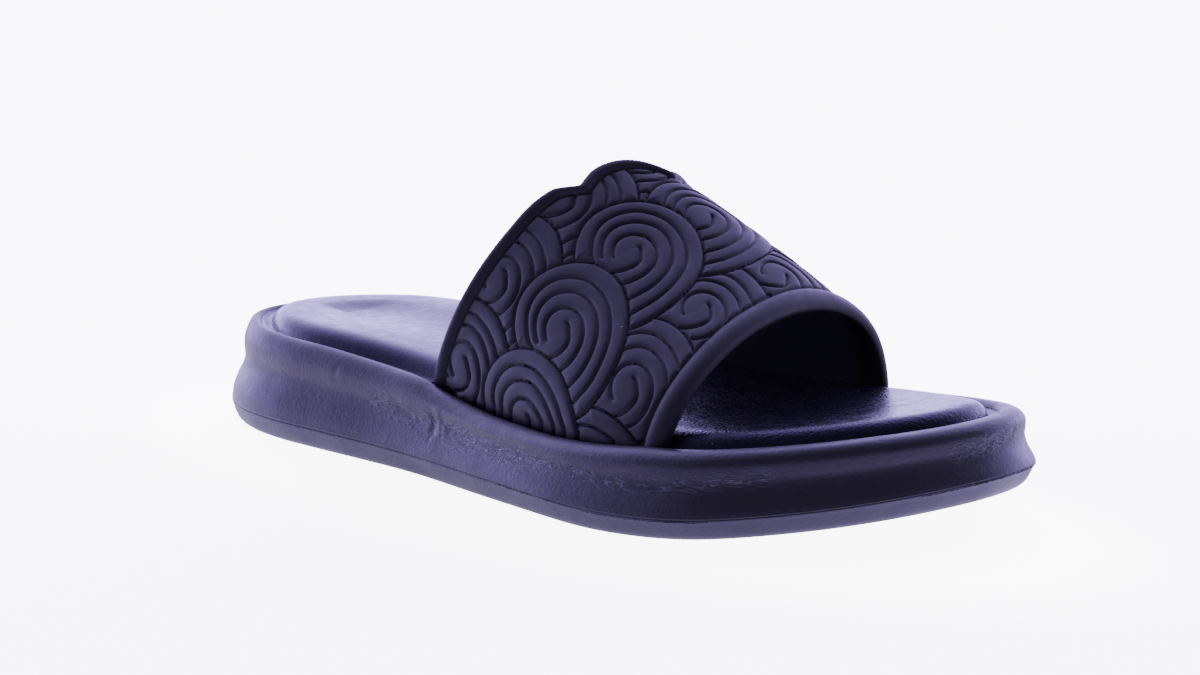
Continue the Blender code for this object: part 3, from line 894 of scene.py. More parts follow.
def dress(piece: bpy.types.Object, material: bpy.types.Material,
          replaces: Optional[str] = None) -> bpy.types.Object:
    """Give a piece its material and tie it to the frame.

    Args:
        piece: The finished object.
        material: Its material.
        replaces: CAD node that the piece stands for.

    Returns:
        The piece.
    """
    if not piece.data.materials:
        piece.data.materials.append(material)
    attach(piece, "root")
    if replaces:
        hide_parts(replaces)
    LOG.info("%s: %d faces", piece.name, len(piece.data.polygons))
    return piece


@dataclass(frozen=True)
class GraphInput:
    """A named input of a Geometry Nodes tree and the value it is given."""

    name: str
    kind: str
    value: object


class GraphPiece:
    """Base of the pieces that Geometry Nodes make from a small guide mesh."""

    def __init__(self, name: str, inputs: Sequence[GraphInput]) -> None:
        """Start the tree with its inputs.

        Args:
            name: Name of the piece and its tree.
            inputs: Named inputs with their values.
        """
        self.name = name
        self.inputs = list(inputs)
        self.tree = bpy.data.node_groups.new(name + "_graph", "GeometryNodeTree")
        face = self.tree.interface
        face.new_socket("Geometry", in_out="INPUT", socket_type="NodeSocketGeometry")
        for item in self.inputs:
            face.new_socket(item.name, in_out="INPUT", socket_type=item.kind)
        face.new_socket("Geometry", in_out="OUTPUT", socket_type="NodeSocketGeometry")
        self.source = self.tree.nodes.new("NodeGroupInput")
        self.sink = self.tree.nodes.new("NodeGroupOutput")

    def node(self, kind: str, **properties: object) -> bpy.types.Node:
        """Add a node and set its properties.

        Args:
            kind: Type of the node.
            properties: Its properties.

        Returns:
            The node.
        """
        node = self.tree.nodes.new(kind)
        for key, value in properties.items():
            setattr(node, key, value)
        return node

    def link(self, output: bpy.types.NodeSocket, target: bpy.types.NodeSocket) -> None:
        """Join two sockets."""
        self.tree.links.new(output, target)

    def wire(self, *links: tuple[bpy.types.Node, object, bpy.types.Node, object]) -> None:
        """Join sockets, each link given as (node, output, node, input)."""
        for start, output, end, target in links:
            self.link(start.outputs[output], end.inputs[target])

    def finish(self, geometry: bpy.types.NodeSocket) -> None:
        """End the tree in Realize Instances and Set Material.

        Args:
            geometry: The finished geometry.
        """
        realize = self.node("GeometryNodeRealizeInstances")
        paint = self.node("GeometryNodeSetMaterial")
        self.link(geometry, realize.inputs["Geometry"])
        self.link(realize.outputs["Geometry"], paint.inputs["Geometry"])
        self.link(self.source.outputs["Material"], paint.inputs["Material"])
        self.link(paint.outputs["Geometry"], self.sink.inputs["Geometry"])

    def bake(self, guide: bpy.types.Mesh) -> bpy.types.Object:
        """Run the tree on a guide mesh and keep the result as plain geometry.

        Args:
            guide: Mesh that the tree starts from.

        Returns:
            The finished object.
        """
        carrier = bpy.data.objects.new(self.name + "_guide", guide)
        bpy.context.scene.collection.objects.link(carrier)
        modifier = carrier.modifiers.new(self.name, "NODES")
        modifier.node_group = self.tree
        sockets = {item.name: item.identifier for item in self.tree.interface.items_tree
                   if item.item_type == "SOCKET" and item.in_out == "INPUT"}
        for item in self.inputs:
            modifier[sockets[item.name]] = item.value
        graph = bpy.context.evaluated_depsgraph_get()
        mesh = bpy.data.meshes.new_from_object(carrier.evaluated_get(graph))
        mesh.name = self.name
        carrier.modifiers.remove(modifier)
        bpy.data.objects.remove(carrier)
        piece = bpy.data.objects.new(self.name, mesh)
        bpy.context.scene.collection.objects.link(piece)
        return piece


@dataclass
class Outsole:
    """The thin band under the parting line, with a recessed tread."""

    shape: SoleShape
    tread_depth: float = 0.0014
    tread_groove: float = 0.0030
    tread_margin: float = 0.0130
    tread_bow: float = 0.0040
    across_steps: int = 44
    seam: float = 0.00004

    ROWS = (
        # height share, inset share at the heel, inset share at the toe
        (0.00, 0.62, 0.80), (0.03, 0.47, 0.60), (0.09, 0.36, 0.46), (0.24, 0.21, 0.32),
        (0.50, 0.10, 0.20), (0.80, 0.03, 0.09), (0.93, 0.010, 0.03), (0.975, 0.012, 0.02),
        (1.00, 0.045, 0.045), (1.00, 0.35, 0.35),
    )
    ZONES = ((0.07, 0.27), (0.50, 0.90))
    SPACING = 0.04

    def _ring(self, height: float, heel: float, toe: float) -> Array:
        """One ring of the band.

        Args:
            height: Height share.
            heel: Inset share at the heel.
            toe: Inset share at the toe.

        Returns:
            Points of the ring.
        """
        shape = self.shape
        insets = shape.sizes.crest_inset * (heel + (toe - heel) * shape.shares)
        flat = shape.inset(insets)
        share = flat[:, 0] / shape.sizes.length
        lift = shape.side_lift()
        low = shape.ground(share) + 0.8 * lift
        top = shape.parting(share) + lift - 0.5 * self.seam
        return shape.place(flat, low + height * (top - low))

    def _underside(self, edge: Array) -> tuple[Array, list[list[int]]]:
        """The tread's plane inside the edge ring: side-to-side rows of points.

        Args:
            edge: Points of the edge ring.

        Returns:
            The points inside it, and the faces.
        """
        shape = self.shape
        count = shape.count
        length = shape.sizes.length
        half = shape.half_count
        points: list[Array] = []
        for k in range(1, half):
            lateral, medial = edge[k], edge[count - k]
            parts = np.linspace(0.0, 1.0, self.across_steps + 1)[1:-1, None]
            row = lateral + (medial - lateral) * parts
            along = 0.5 * length - row[:, 1]
            share = along / length
            reach = np.linalg.norm(row - lateral, axis=1) / 0.016
            lift = 0.8 * shape.side_lift()[k] * (1.0 - smoothstep(reach))
            row[:, 2] = (shape.ground(share) + lift
                         + self.tread_depth * self._recess(row, share))
            points.append(row)
        inner = np.concatenate(points)
        per_row = self.across_steps - 1
        base = len(edge)

        def number(k: int, column: int) -> int:
            if k in (0, half):
                return k
            if column == 0:
                return k
            if column == self.across_steps:
                return count - k
            return base + (k - 1) * per_row + column - 1

        faces = []
        for k in range(half):
            for column in range(self.across_steps):
                corners = [number(k, column), number(k, column + 1),
                           number(k + 1, column + 1), number(k + 1, column)]
                unique = list(dict.fromkeys(corners))
                if len(unique) > 2:
                    faces.append(unique)
        return inner, faces

    def _recess(self, row: Array, share: Array) -> Array:
        """1 inside the tread's recess, 0 outside, for one side-to-side row.

        Args:
            row: Points of the row.
            share: Their places along the shoe.

        Returns:
            The mask at each point.
        """
        x = row[:, 0]
        left, right = x.min() + self.tread_margin, x.max() - self.tread_margin
        width = max(right - left, 1e-6)
        part = np.clip((x - left) / width, 0.0, 1.0)
        bow = self.tread_bow * np.sin(math.pi * part) / self.shape.sizes.length
        inside = (x > left) & (x < right) & (width > 0.01)
        margin = 0.5 * self.tread_groove / self.shape.sizes.length
        zone = np.zeros_like(x)
        for start, end in self.ZONES:
            place = share - bow
            zone = np.maximum(zone, ((place > start - margin) & (place < end + margin)) * 1.0)
        return zone * inside

    def build(self) -> bpy.types.Object:
        """Make the band and its underside.

        Returns:
            The outsole.
        """
        rows = refine_rows(np.array(self.ROWS), 3)
        rings = np.stack([self._ring(*np.clip(row, 0.0, None)) for row in rows])
        count = self.shape.count
        inner, under = self._underside(rings[0])
        points = [rings[0], inner]
        faces = list(under)
        start = len(rings[0]) + len(inner)
        numbers = [np.arange(count)]
        for ring in rings[1:]:
            numbers.append(np.arange(count) + start)
            points.append(ring)
            start += count
        for low, high in zip(numbers, numbers[1:]):
            for k in range(count):
                after = (k + 1) % count
                faces.append([int(low[k]), int(low[after]), int(high[after]), int(high[k])])
        top = numbers[-1]
        for k in range(count // 2):
            corners = [top[k], top[k + 1], top[(count - k - 1) % count], top[(count - k) % count]]
            faces.append([int(c) for c in dict.fromkeys(corners)])
        return MeshKit.add("outsole_band", np.concatenate(points), faces)


@dataclass
class TreadLands:
    """The bowed bars of the tread, swept by Geometry Nodes along guide lines."""

    outsole: Outsole
    sunk: float = 0.00010

    def guide(self) -> bpy.types.Mesh:
        """Lines along the middle of every land between two grooves."""
        shape = self.outsole.shape
        sizes = shape.sizes
        edge = shape.inset(np.full(shape.count, self.outsole.tread_margin))
        lateral = edge[:shape.half_count + 1]
        medial = edge[shape.half_count:][::-1]
        points, edges = [], []
        for start, end in self.outsole.ZONES:
            lands = int(round((end - start) / self.outsole.SPACING))
            for land in range(lands):
                along = (start + (land + 0.5) * self.outsole.SPACING) * sizes.length
                left = np.interp(along, lateral[:, 0], lateral[:, 1]) - 0.0004
                right = np.interp(along, medial[:, 0], medial[:, 1]) + 0.0004
                first = len(points)
                for step in range(15):
                    part = step / 14.0
                    middle = along + self.outsole.tread_bow * math.sin(math.pi * part)
                    flat = np.array([middle, left + (right - left) * part])
                    up = float(shape.ground(np.array(middle / sizes.length))) + self.sunk
                    points.append(shape.place(flat, np.array(up + self.outsole.tread_depth / 2)))
                edges.extend((k, k + 1) for k in range(first, first + 14))
        mesh = bpy.data.meshes.new("tread_guide")
        mesh.from_pydata([tuple(p) for p in points], edges, [])
        return mesh

    def build(self, material: bpy.types.Material) -> bpy.types.Object:
        """Sweep the lands.

        Args:
            material: Material of the lands.

        Returns:
            The bars as one object.
        """
        sizes = self.outsole.shape.sizes
        land = self.outsole.SPACING * sizes.length - self.outsole.tread_groove
        graph = GraphPiece("tread_lands", (
            GraphInput("Width", "NodeSocketFloat", land),
            GraphInput("Height", "NodeSocketFloat", self.outsole.tread_depth),
            GraphInput("Round", "NodeSocketFloat", 0.0004),
            GraphInput("Material", "NodeSocketMaterial", material),
        ))
        source = graph.source
        lines = graph.node("GeometryNodeMeshToCurve")
        upright = graph.node("GeometryNodeSetCurveNormal", mode="Z_UP")
        profile = graph.node("GeometryNodeCurvePrimitiveQuadrilateral")
        fillet = graph.node("GeometryNodeFilletCurve", mode="POLY")
        fillet.inputs["Count"].default_value = 3
        sweep = graph.node("GeometryNodeCurveToMesh")
        sweep.inputs["Fill Caps"].default_value = True
        graph.wire(
            (source, "Geometry", lines, "Mesh"), (lines, "Curve", upright, "Curve"),
            (source, "Width", profile, "Width"),
            (source, "Height", profile, "Height"), (profile, "Curve", fillet, "Curve"),
            (source, "Round", fillet, "Radius"), (upright, "Curve", sweep, "Curve"),
            (fillet, "Curve", sweep, "Profile Curve"))
        graph.finish(sweep.outputs["Mesh"])
        return graph.bake(self.guide())


@dataclass
class Midsole:
    """The thick moulded body with flare, waist, bulge and rim."""

    shape: SoleShape
    skin: SideSkin
    seam: float = 0.00004

    SIDE = (
        # height share, inset share at the heel, inset share at the toe
        (0.000, 0.35, 0.35), (0.000, 0.055, 0.05), (0.012, 0.028, 0.026), (0.030, 0.02, 0.02),
        (0.055, 0.036, 0.036), (0.095, 0.055, 0.060), (0.160, 0.09, 0.12),
        (0.290, 0.24, 0.25), (0.410, 0.43, 0.34), (0.530, 0.55, 0.39),
        (0.660, 0.54, 0.37), (0.780, 0.55, 0.37), (0.880, 0.65, 0.46), (0.955, 0.80, 0.63),
        (0.990, 0.92, 0.84), (1.000, 1.02, 1.02),
    )
    RIM = (
        # depth share under the crest, inset share, blend
        (0.004, 1.075, 0.0), (0.030, 1.130, 0.0), (0.080, 1.170, 0.0), (0.135, 1.200, 0.0),
        (0.185, 1.2267, 0.0), (0.40, 1.2267, 0.0), (1.00, 1.2267, 0.0), (1.00, 2.40, 0.0),
        (1.00, 2.40, 0.6),
    )
    DIP_START = 0.55

    def build(self) -> bpy.types.Object:
        """Make the body.

        Returns:
            The midsole.
        """
        shape = self.shape
        sizes = shape.sizes
        rows = refine_rows(np.array(self.SIDE), 5)
        rings = [self._side_ring(0.0, 1.2, 1.2, 0.6), self._side_ring(0.0, 1.2, 1.2, 0.0)]
        rings.extend(self._side_ring(float(h), float(a), float(b), 0.0) for h, a, b in rows)
        dip = shape.foot_dip()
        flat_heel = shape.heel_shallow()
        for depth, inset, blend in self.RIM:
            step = (sizes.foot_step * dip
                    * min((inset - 1.0) * sizes.crest_inset / sizes.rim_lip, 1.0))
            flat = shape.inset(inset * sizes.crest_inset - step, blend)
            share = flat[:, 0] / sizes.length
            up = shape.rim(share) - depth * sizes.trench_depth * (flat_heel if depth < 0.3 else 1.0)
            rings.append(shape.place(flat, up - sizes.foot_dip * dip * (1.0 - depth)))
        body = MeshKit.rings("midsole_body", np.stack(rings))
        self._mark(body, rows, len(rings))
        return body

    def _mark(self, body: bpy.types.Object, rows: Array, ring_count: int) -> None:
        """Keep the strength of the fine wrinkles as an attribute of the mesh.

        Args:
            body: The midsole.
            rows: Rows of its side.
            ring_count: Rings of the whole body.
        """
        shape = self.shape
        marks = np.zeros((ring_count, shape.count))
        span = shape.rim(shape.shares) - shape.parting(shape.shares)
        for number, (height, _, _) in enumerate(rows):
            marks[number + 2] = self.skin.wrinkled(shape.runs(), height * span)
        layer = body.data.attributes.new("wrinkle", "FLOAT", "POINT")
        layer.data.foreach_set("value", marks.reshape(-1))

    def _side_ring(self, height: float, heel: float, toe: float, blend: float) -> Array:
        """One ring of the outer side, pressed in by the skin's creases.

        Args:
            height: Height share.
            heel: Inset share at the heel.
            toe: Inset share at the toe.
            blend: Share of the way to the spine.

        Returns:
            Points of the ring.
        """
        shape = self.shape
        sizes = shape.sizes
        insets = sizes.crest_inset * (heel + (toe - heel) * shape.shares)
        lift = shape.side_lift() * (1.0 - blend)
        low = shape.parting(shape.shares) + lift + 0.5 * self.seam
        span = shape.rim(shape.shares) - low
        if 0.0 < height < 1.0:
            press = self.skin.depth(shape.runs(), height * span)
            fade = math.sin(math.pi * min(max(height, 0.0), 1.0)) ** 0.5
            insets = insets + np.maximum(press * fade, -0.4 * insets)
        flat = shape.inset(insets, blend)
        share = flat[:, 0] / sizes.length
        low = shape.parting(share) + lift + 0.5 * self.seam
        top = shape.rim(share)
        dip = sizes.foot_dip * shape.foot_dip() * float(smoothstep(np.array(
            (height - self.DIP_START) / (1.0 - self.DIP_START))))
        return shape.place(flat, low + height * (top - low) - dip)


@dataclass
class FootbedPad:
    """The raised, dished pad; its flange gives way to the strap's feet."""

    shape: SoleShape
    strap: "StrapSurface"

    ROWS = (
        # flange part, inset share of the shoulder, height share, datum, blend, dish
        (-0.98, 0.0, 0.0, "bed", 0.0, 0.0), (-1.0, 0.0, 0.5, "bed", 0.0, 0.0),
        (-1.0, 0.0, -0.62, "valley", 0.0, 0.0), (-0.99, 0.0, -0.50, "valley", 0.0, 0.0),
        (-0.90, 0.0, -0.60, "valley", 0.0, 0.0), (-0.76, 0.0, -0.74, "valley", 0.0, 0.0),
        (-0.60, 0.0, -0.84, "valley", 0.0, 0.0), (-0.40, 0.0, -0.88, "valley", 0.0, 0.0),
        (-0.20, 0.0, -0.83, "valley", 0.0, 0.0), (-0.05, 0.0, -0.66, "valley", 0.0, 0.0),
        (0.0, 0.06, -0.42, "pad", 0.0, 0.0),
        (0.0, 0.13, -0.12, "pad", 0.0, 0.0), (0.0, 0.22, 0.17, "pad", 0.0, 0.0),
        (0.0, 0.33, 0.43, "pad", 0.0, 0.0), (0.0, 0.46, 0.65, "pad", 0.0, 0.0),
        (0.0, 0.62, 0.83, "pad", 0.0, 0.0), (0.0, 0.82, 0.96, "pad", 0.0, 0.0),
        (0.0, 1.08, 1.03, "pad", 0.0, 0.0), (0.0, 1.45, 1.06, "pad", 0.0, 0.02),
        (0.0, 1.90, 1.07, "pad", 0.0, 0.06),
    )
    TOE_REACH = 0.0016
    HEEL_REACH = 0.0019
    TOP = 1.07
    DISH_START = 0.12
    HEEL_DISH_SHARE = 0.7
    TOP_BLENDS = (0.0, 0.06, 0.14, 0.24, 0.36, 0.50, 0.64, 0.78, 0.90)

    def _ring(self, flange: float, shoulder: float, height: float, datum: str, blend: float,
              dish: float) -> Array:
        """One ring of the pad.

        Args:
            flange: Part of the flange's width, 0 at the pad.
            shoulder: Inset share of the shoulder.
            height: Height share.
            datum: What the height is measured from.
            blend: Share of the way to the spine.
            dish: Share of the bowl's depth.

        Returns:
            Points of the ring.
        """
        shape = self.shape
        sizes = shape.sizes
        trench = sizes.crest_inset + sizes.rim_lip + sizes.joint_gap
        strap = self.strap.sizes
        pad = trench + strap.bead_rise + strap.wall
        outer = np.full(shape.count, trench - 0.8 * sizes.joint_gap)
        outer = outer + (pad + sizes.joint_gap - outer) * self.strap.foot_mask()
        reach = (self.TOE_REACH * np.exp(-((1.0 - shape.shares) / 0.05) ** 2)
                 + self.HEEL_REACH * np.exp(-((shape.shares - 0.17) / 0.14) ** 2)) * (1.0 + flange)
        insets = pad + flange * (pad - outer) + shoulder * sizes.pad_shoulder - reach
        flat = shape.inset(insets, blend)
        share = flat[:, 0] / sizes.length
        rim = shape.rim(share)
        if datum == "bed":
            up = rim - sizes.trench_depth * (1.0 - height) + sizes.joint_gap
        elif datum == "valley":
            up = rim + height * sizes.valley_depth * shape.heel_shallow()
        else:
            low = shape.heel_shallow() if height < 0.0 else 1.0
            up = rim + height * low * sizes.pad_rise - dish * self._dish(share)
            if height > 1.03:
                turn = np.sin(math.pi * np.arange(shape.count) / shape.half_count)
                arch = np.exp(-((share - 0.38) / 0.13) ** 2)
                ease = float(smoothstep(np.array((shoulder - 1.2) / 0.7)))
                up = up + (sizes.arch_support * arch * np.clip(-turn, 0.0, None)
                           * (1.0 - blend) * ease)
        return shape.place(flat, up)

    def _dish(self, share: Array) -> Array:
        """Depth of the footbed's bowl along the shoe."""
        sizes = self.shape.sizes
        return (self.HEEL_DISH_SHARE * sizes.heel_dish * np.exp(-((share - 0.15) / 0.15) ** 2)
                + sizes.ball_dish * np.exp(-((share - 0.68) / 0.16) ** 2))

    def build(self) -> bpy.types.Object:
        """Make the pad.

        Returns:
            The footbed pad.
        """
        rings = [self._ring(0.0, 2.2, 0.0, "bed", 0.6, 0.0)]
        rings.extend(self._ring(*row) for row in self.ROWS)
        for blend in self.TOP_BLENDS:
            ease = float(smoothstep(np.array(blend / self.TOP_BLENDS[-1])))
            dish = self.DISH_START + (1.0 - self.DISH_START) * ease
            rings.append(self._ring(0.0, 2.4, self.TOP, "pad", blend, dish))
        return MeshKit.rings("footbed_pad", np.stack(rings))


@dataclass
class PartingFlashAndShade:
    """Ragged threads along parts of the parting line: pale mould flash, and dark threads of painted
    shade where the seam gapes.

    `spans` holds the run from the heel to the start and to the end of each thread.
    """

    shape: SoleShape
    name: str
    spans: tuple[tuple[float, float], ...]
    thickness: float
    rise: float
    wander: float = 0.00050
    step: float = 0.00030
    sunk: float = 0.00019

    def guide(self) -> bpy.types.Mesh:
        """Plain lines in the parting groove, one for each thread."""
        shape = self.shape
        flat = shape.inset(np.full(shape.count, self.sunk))
        share = flat[:, 0] / shape.sizes.length
        line = shape.place(flat, shape.parting(share) + shape.side_lift() + self.rise)
        runs = shape.runs()
        points, edges = [], []
        for start, end in self.spans:
            places = np.arange(start, end, self.step)
            first = len(points)
            thread = np.stack([np.interp(places, runs, line[:, k]) for k in range(3)], axis=1)
            points.extend(map(tuple, thread))
            edges.extend((k, k + 1) for k in range(first, len(points) - 1))
        mesh = bpy.data.meshes.new("flash_and_shade_guide")
        mesh.from_pydata(points, edges, [])
        return mesh

    def build(self, material: bpy.types.Material) -> bpy.types.Object:
        """Make the threads.

        Args:
            material: Material of the threads.

        Returns:
            The threads as one object.
        """
        graph = GraphPiece(self.name, (
            GraphInput("Thickness", "NodeSocketFloat", self.thickness),
            GraphInput("Wander", "NodeSocketFloat", self.wander),
            GraphInput("Material", "NodeSocketMaterial", material),
        ))
        source = graph.source
        lines = graph.node("GeometryNodeMeshToCurve")
        noise = graph.node("ShaderNodeTexNoise")
        noise.inputs["Scale"].default_value = 900.0
        centred = graph.node("ShaderNodeVectorMath", operation="SUBTRACT")
        centred.inputs[1].default_value = (0.5, 0.5, 0.5)
        scaled = graph.node("ShaderNodeVectorMath", operation="SCALE")
        moved = graph.node("GeometryNodeSetPosition")
        thick = graph.node("ShaderNodeMapRange")
        thick.inputs["From Min"].default_value = 0.42
        thick.inputs["From Max"].default_value = 0.62
        thick.inputs["To Min"].default_value = 0.15
        thick.inputs["To Max"].default_value = 1.5
        lumps = graph.node("ShaderNodeTexNoise")
        lumps.inputs["Scale"].default_value = 420.0
        radius = graph.node("GeometryNodeSetCurveRadius")
        profile = graph.node("GeometryNodeCurvePrimitiveCircle", mode="RADIUS")
        profile.inputs["Resolution"].default_value = 5
        sweep = graph.node("GeometryNodeCurveToMesh")
        sweep.inputs["Fill Caps"].default_value = True
        graph.wire(
            (source, "Geometry", lines, "Mesh"), (noise, "Color", centred, 0),
            (centred, "Vector", scaled, 0), (source, "Wander", scaled, "Scale"),
            (lines, "Curve", moved, "Geometry"), (scaled, "Vector", moved, "Offset"),
            (lumps, "Fac", thick, "Value"), (moved, "Geometry", radius, "Curve"),
            (thick, "Result", radius, "Radius"), (source, "Thickness", profile, "Radius"),
            (radius, "Curve", sweep, "Curve"), (profile, "Curve", sweep, "Profile Curve"))
        graph.finish(sweep.outputs["Mesh"])
        return graph.bake(self.guide())


@dataclass
class DustSpecks:
    """A few pale specks of dust strewn over a piece."""

    name: str
    density: float
    radius: float
    seed: int

    def build(self, ground: bpy.types.Object, material: bpy.types.Material) -> bpy.types.Object:
        """Strew the specks.

        Args:
            ground: Piece that the specks lie on.
            material: Material of the specks.

        Returns:
            The specks as one object.
        """
        graph = GraphPiece(self.name, (
            GraphInput("Density", "NodeSocketFloat", self.density),
            GraphInput("Radius", "NodeSocketFloat", self.radius),
            GraphInput("Seed", "NodeSocketInt", self.seed),
            GraphInput("Material", "NodeSocketMaterial", material),
        ))
        source = graph.source
        strew = graph.node("GeometryNodeDistributePointsOnFaces")
        speck = graph.node("GeometryNodeMeshIcoSphere")
        speck.inputs["Subdivisions"].default_value = 2
        spread = graph.node("FunctionNodeRandomValue", data_type="FLOAT_VECTOR")
        spread.inputs["Min"].default_value = (0.35, 0.35, 0.20)
        spread.inputs["Max"].default_value = (1.70, 1.00, 0.60)
        copies = graph.node("GeometryNodeInstanceOnPoints")
        graph.wire(
            (source, "Geometry", strew, "Mesh"),
            (source, "Density", strew, "Density"), (source, "Seed", strew, "Seed"),
            (source, "Seed", spread, "Seed"), (source, "Radius", speck, "Radius"),
            (strew, "Points", copies, "Points"), (strew, "Rotation", copies, "Rotation"),
            (speck, "Mesh", copies, "Instance"), (spread, "Value", copies, "Scale"))
        graph.finish(copies.outputs["Instances"])
        return graph.bake(ground.data)


class StrapSurface:
    """The surface over the strap's beads, in pattern coordinates.

    `around` is the arc length from the strap's middle (lateral -), `forward` runs from 0
    at the rear arch to PATTERN_LENGTH at the crest of the front bead.
    """

    PATTERN_LENGTH = 0.080
    REAR = np.array(((0.396, -0.321, 0.287), (0.420, -0.309, 0.964),
                     (0.638, 0.390, 1.474), (0.444, 0.345, 0.298)))
    FRONT = np.array(((0.732, -0.440, 0.271), (0.752, -0.415, 0.681),
                      (0.748, 0.379, 0.851), (0.757, 0.370, 0.308)))
    SCALLOPS = (
        # place around the rear arch from -1 to 1, inset as a share of the rear bead
        (-1.000, 0.00), (-0.440, -0.05), (-0.250, -0.22), (-0.215, -0.10), (-0.180, 0.42),
        (-0.148, 0.86), (-0.120, 0.62), (-0.080, 0.27), (-0.005, 0.09), (0.050, 0.27),
        (0.097, 0.68), (0.133, 1.20), (0.165, 1.75), (0.200, 1.50), (0.250, 1.20),
        (0.330, 1.05), (0.410, 1.25), (0.460, 1.60), (0.495, 1.95), (0.530, 1.60),
        (0.600, 1.20), (0.700, 1.05), (0.850, 1.10), (1.000, 1.20),
    )

    def __init__(self, shape: SoleShape, sizes: StrapSizes) -> None:
        """Work out the arches and the tables of arc length.

        Args:
            shape: The sole that the strap stands in.
            sizes: Driving sizes of the strap.
        """
        self.shape = shape
        self.sizes = sizes
        scale = np.array([shape.sizes.length, shape.sizes.width, sizes.instep_height])
        self.rear = self.REAR * scale
        self.front = self.FRONT * scale
        inset = shape.sizes.crest_inset + shape.sizes.rim_lip + shape.sizes.joint_gap
        line = shape.inset(np.full(shape.count, inset))
        self.sides = (line[:shape.half_count + 1], line[shape.half_count:][::-1])
        self.shares = np.linspace(-0.08, 1.12, 61)
        self.turns = np.linspace(-1.0, 1.0, 801)
        fine = np.linspace(0.0, 1.0, 801)
        self.halves = np.zeros(len(self.shares))
        self.table = np.zeros((len(self.shares), len(self.turns)))
        for row, share in enumerate(self.shares):
            curve = self._straight(fine, np.full(len(fine), share))
            steps = np.linalg.norm(np.diff(curve, axis=0), axis=1)
            length = np.concatenate([[0.0], np.cumsum(steps)])
            self.halves[row] = 0.5 * length[-1]
            self.table[row] = np.interp((self.turns + 1.0) * self.halves[row], length, fine)

    @staticmethod
    def _bezier(rows: Array, t: Array) -> Array:
        """Cubic curve through its four control rows."""
        t = t[..., None]
        return ((1 - t) ** 3 * rows[0] + 3 * t * (1 - t) ** 2 * rows[1]
                + 3 * t ** 2 * (1 - t) * rows[2] + t ** 3 * rows[3])

    def _straight(self, t: Array, share: Array) -> Array:
        """The ruled surface between the arches."""
        rear = self._bezier(self.rear, t)
        return rear + (self._bezier(self.front, t) - rear) * share[..., None]

    def _point(self, t: Array, share: Array) -> Array:
        """The surface with its swollen crown and its feet turned out to follow the rim.

        Args:
            t: Curve parameter across the foot.
            share: Share of the ruling.

        Returns:
            Points as (along, across, up).
        """
        point = self._straight(t, share)
        s = self.sizes
        swell = (smoothstep((t - s.crown_start) / s.crown_ease)
                 * smoothstep((s.crown_end - t) / s.crown_ease))
        point[..., 2] += s.crown_bulge * swell * np.clip(4.0 * share * (1.0 - share), 0.0, None)
        for end, side in zip((0.0, 1.0), self.sides):
            corner = 0 if end == 0.0 else 3
            foot = self.rear[corner] + (self.front[corner] - self.rear[corner]) * share[..., None]
            shift = np.interp(foot[..., 0], side[:, 0], side[:, 1]) - foot[..., 1]
            weight = 1.0 - smoothstep(np.abs(t - end) / s.base_flare)
            point[..., 1] += shift * weight
        table = np.array(FOOT_DIP)
        place = point[..., 0] / self.shape.sizes.length
        stand = np.clip(np.interp(place, table[:, 0], table[:, 1]), 0.0, 1.0)
        stand = np.minimum(1.0, 1.6 * stand) * (1.0 - smoothstep(t / s.step_reach))
        point[..., 1] -= self.shape.sizes.foot_step * stand
        return point

    def half_length(self, forward: Array) -> Array:
        """Half of the arc length across the foot."""
        return np.interp(forward / self.PATTERN_LENGTH, self.shares, self.halves)

    def arch_place(self, around: Array, forward: Array) -> tuple[Array, Array]:
        """Curve parameter and share of the ruling at pattern coordinates.

        Args:
            around: Pattern coordinate around the strap.
            forward: Pattern coordinate towards the toe.

        Returns:
            The parameter and the share.
        """
        share = forward / self.PATTERN_LENGTH
        turn = np.clip(around / self.half_length(forward), -1.0, 1.0)
        row = np.clip((share - self.shares[0]) / (self.shares[1] - self.shares[0]),
                      0, len(self.shares) - 1.001)
        column = (turn + 1.0) * 0.5 * (len(self.turns) - 1)
        column = np.clip(column, 0, len(self.turns) - 1.001)
        i, j = row.astype(int), column.astype(int)
        a, b = row - i, column - j
        low = self.table[i, j] * (1 - b) + self.table[i, j + 1] * b
        high = self.table[i + 1, j] * (1 - b) + self.table[i + 1, j + 1] * b
        return low * (1 - a) + high * a, share

    def ruling(self, t: Array) -> Array:
        """Length of the straight line from the rear to the front arch."""
        return np.linalg.norm(self._bezier(self.front, t) - self._bezier(self.rear, t), axis=-1)

    def offset(self, t: Array, share: Array, height: Array) -> Array:
        """Points over the surface.

        Args:
            t: Curve parameter across the foot.
            share: Share of the ruling.
            height: Height over the crests of the beads.

        Returns:
            Points as (along, across, up).
        """
        step = 0.002
        across = (self._point(np.minimum(t + step, 1.0), share)
                  - self._point(np.maximum(t - step, 0.0), share))
        forward = self._point(t, share + step) - self._point(t, share - step)
        normal = np.cross(forward, across)
        normal /= np.linalg.norm(normal, axis=-1)[..., None]
        return self._point(t, share) + normal * height[..., None]

    def scallop(self, turn: Array) -> Array:
        """How far the rear edge is set in."""
        rows = np.array(self.SCALLOPS)
        return hermite(rows[:, 0], rows[:, 1] * self.sizes.rear_bead, turn)

    def foot_mask(self) -> Array:
        """1 where the strap's feet stand beside the pad's edge, 0 elsewhere."""
        along = self.shape.loop[:, 0]
        mask = np.zeros(self.shape.count)
        for corner, medial in ((0, False), (3, True)):
            rear = self.rear[corner][0] - self.sizes.rear_overhang - 0.0012
            if medial:
                rear += float(self.scallop(np.array([1.0]))[0])
            front = self.front[corner][0] + self.sizes.front_overhang + 0.0012
            side = np.arange(self.shape.count) > self.shape.half_count
            here = (along > rear) & (along < front) & (side == medial)
            mask = np.maximum(mask, here * 1.0)
        return mask

    def place(self, point: Array) -> Array:
        """Points (along, across, up) in the row frame."""
        return self.shape.place(point[..., :2], point[..., 2])


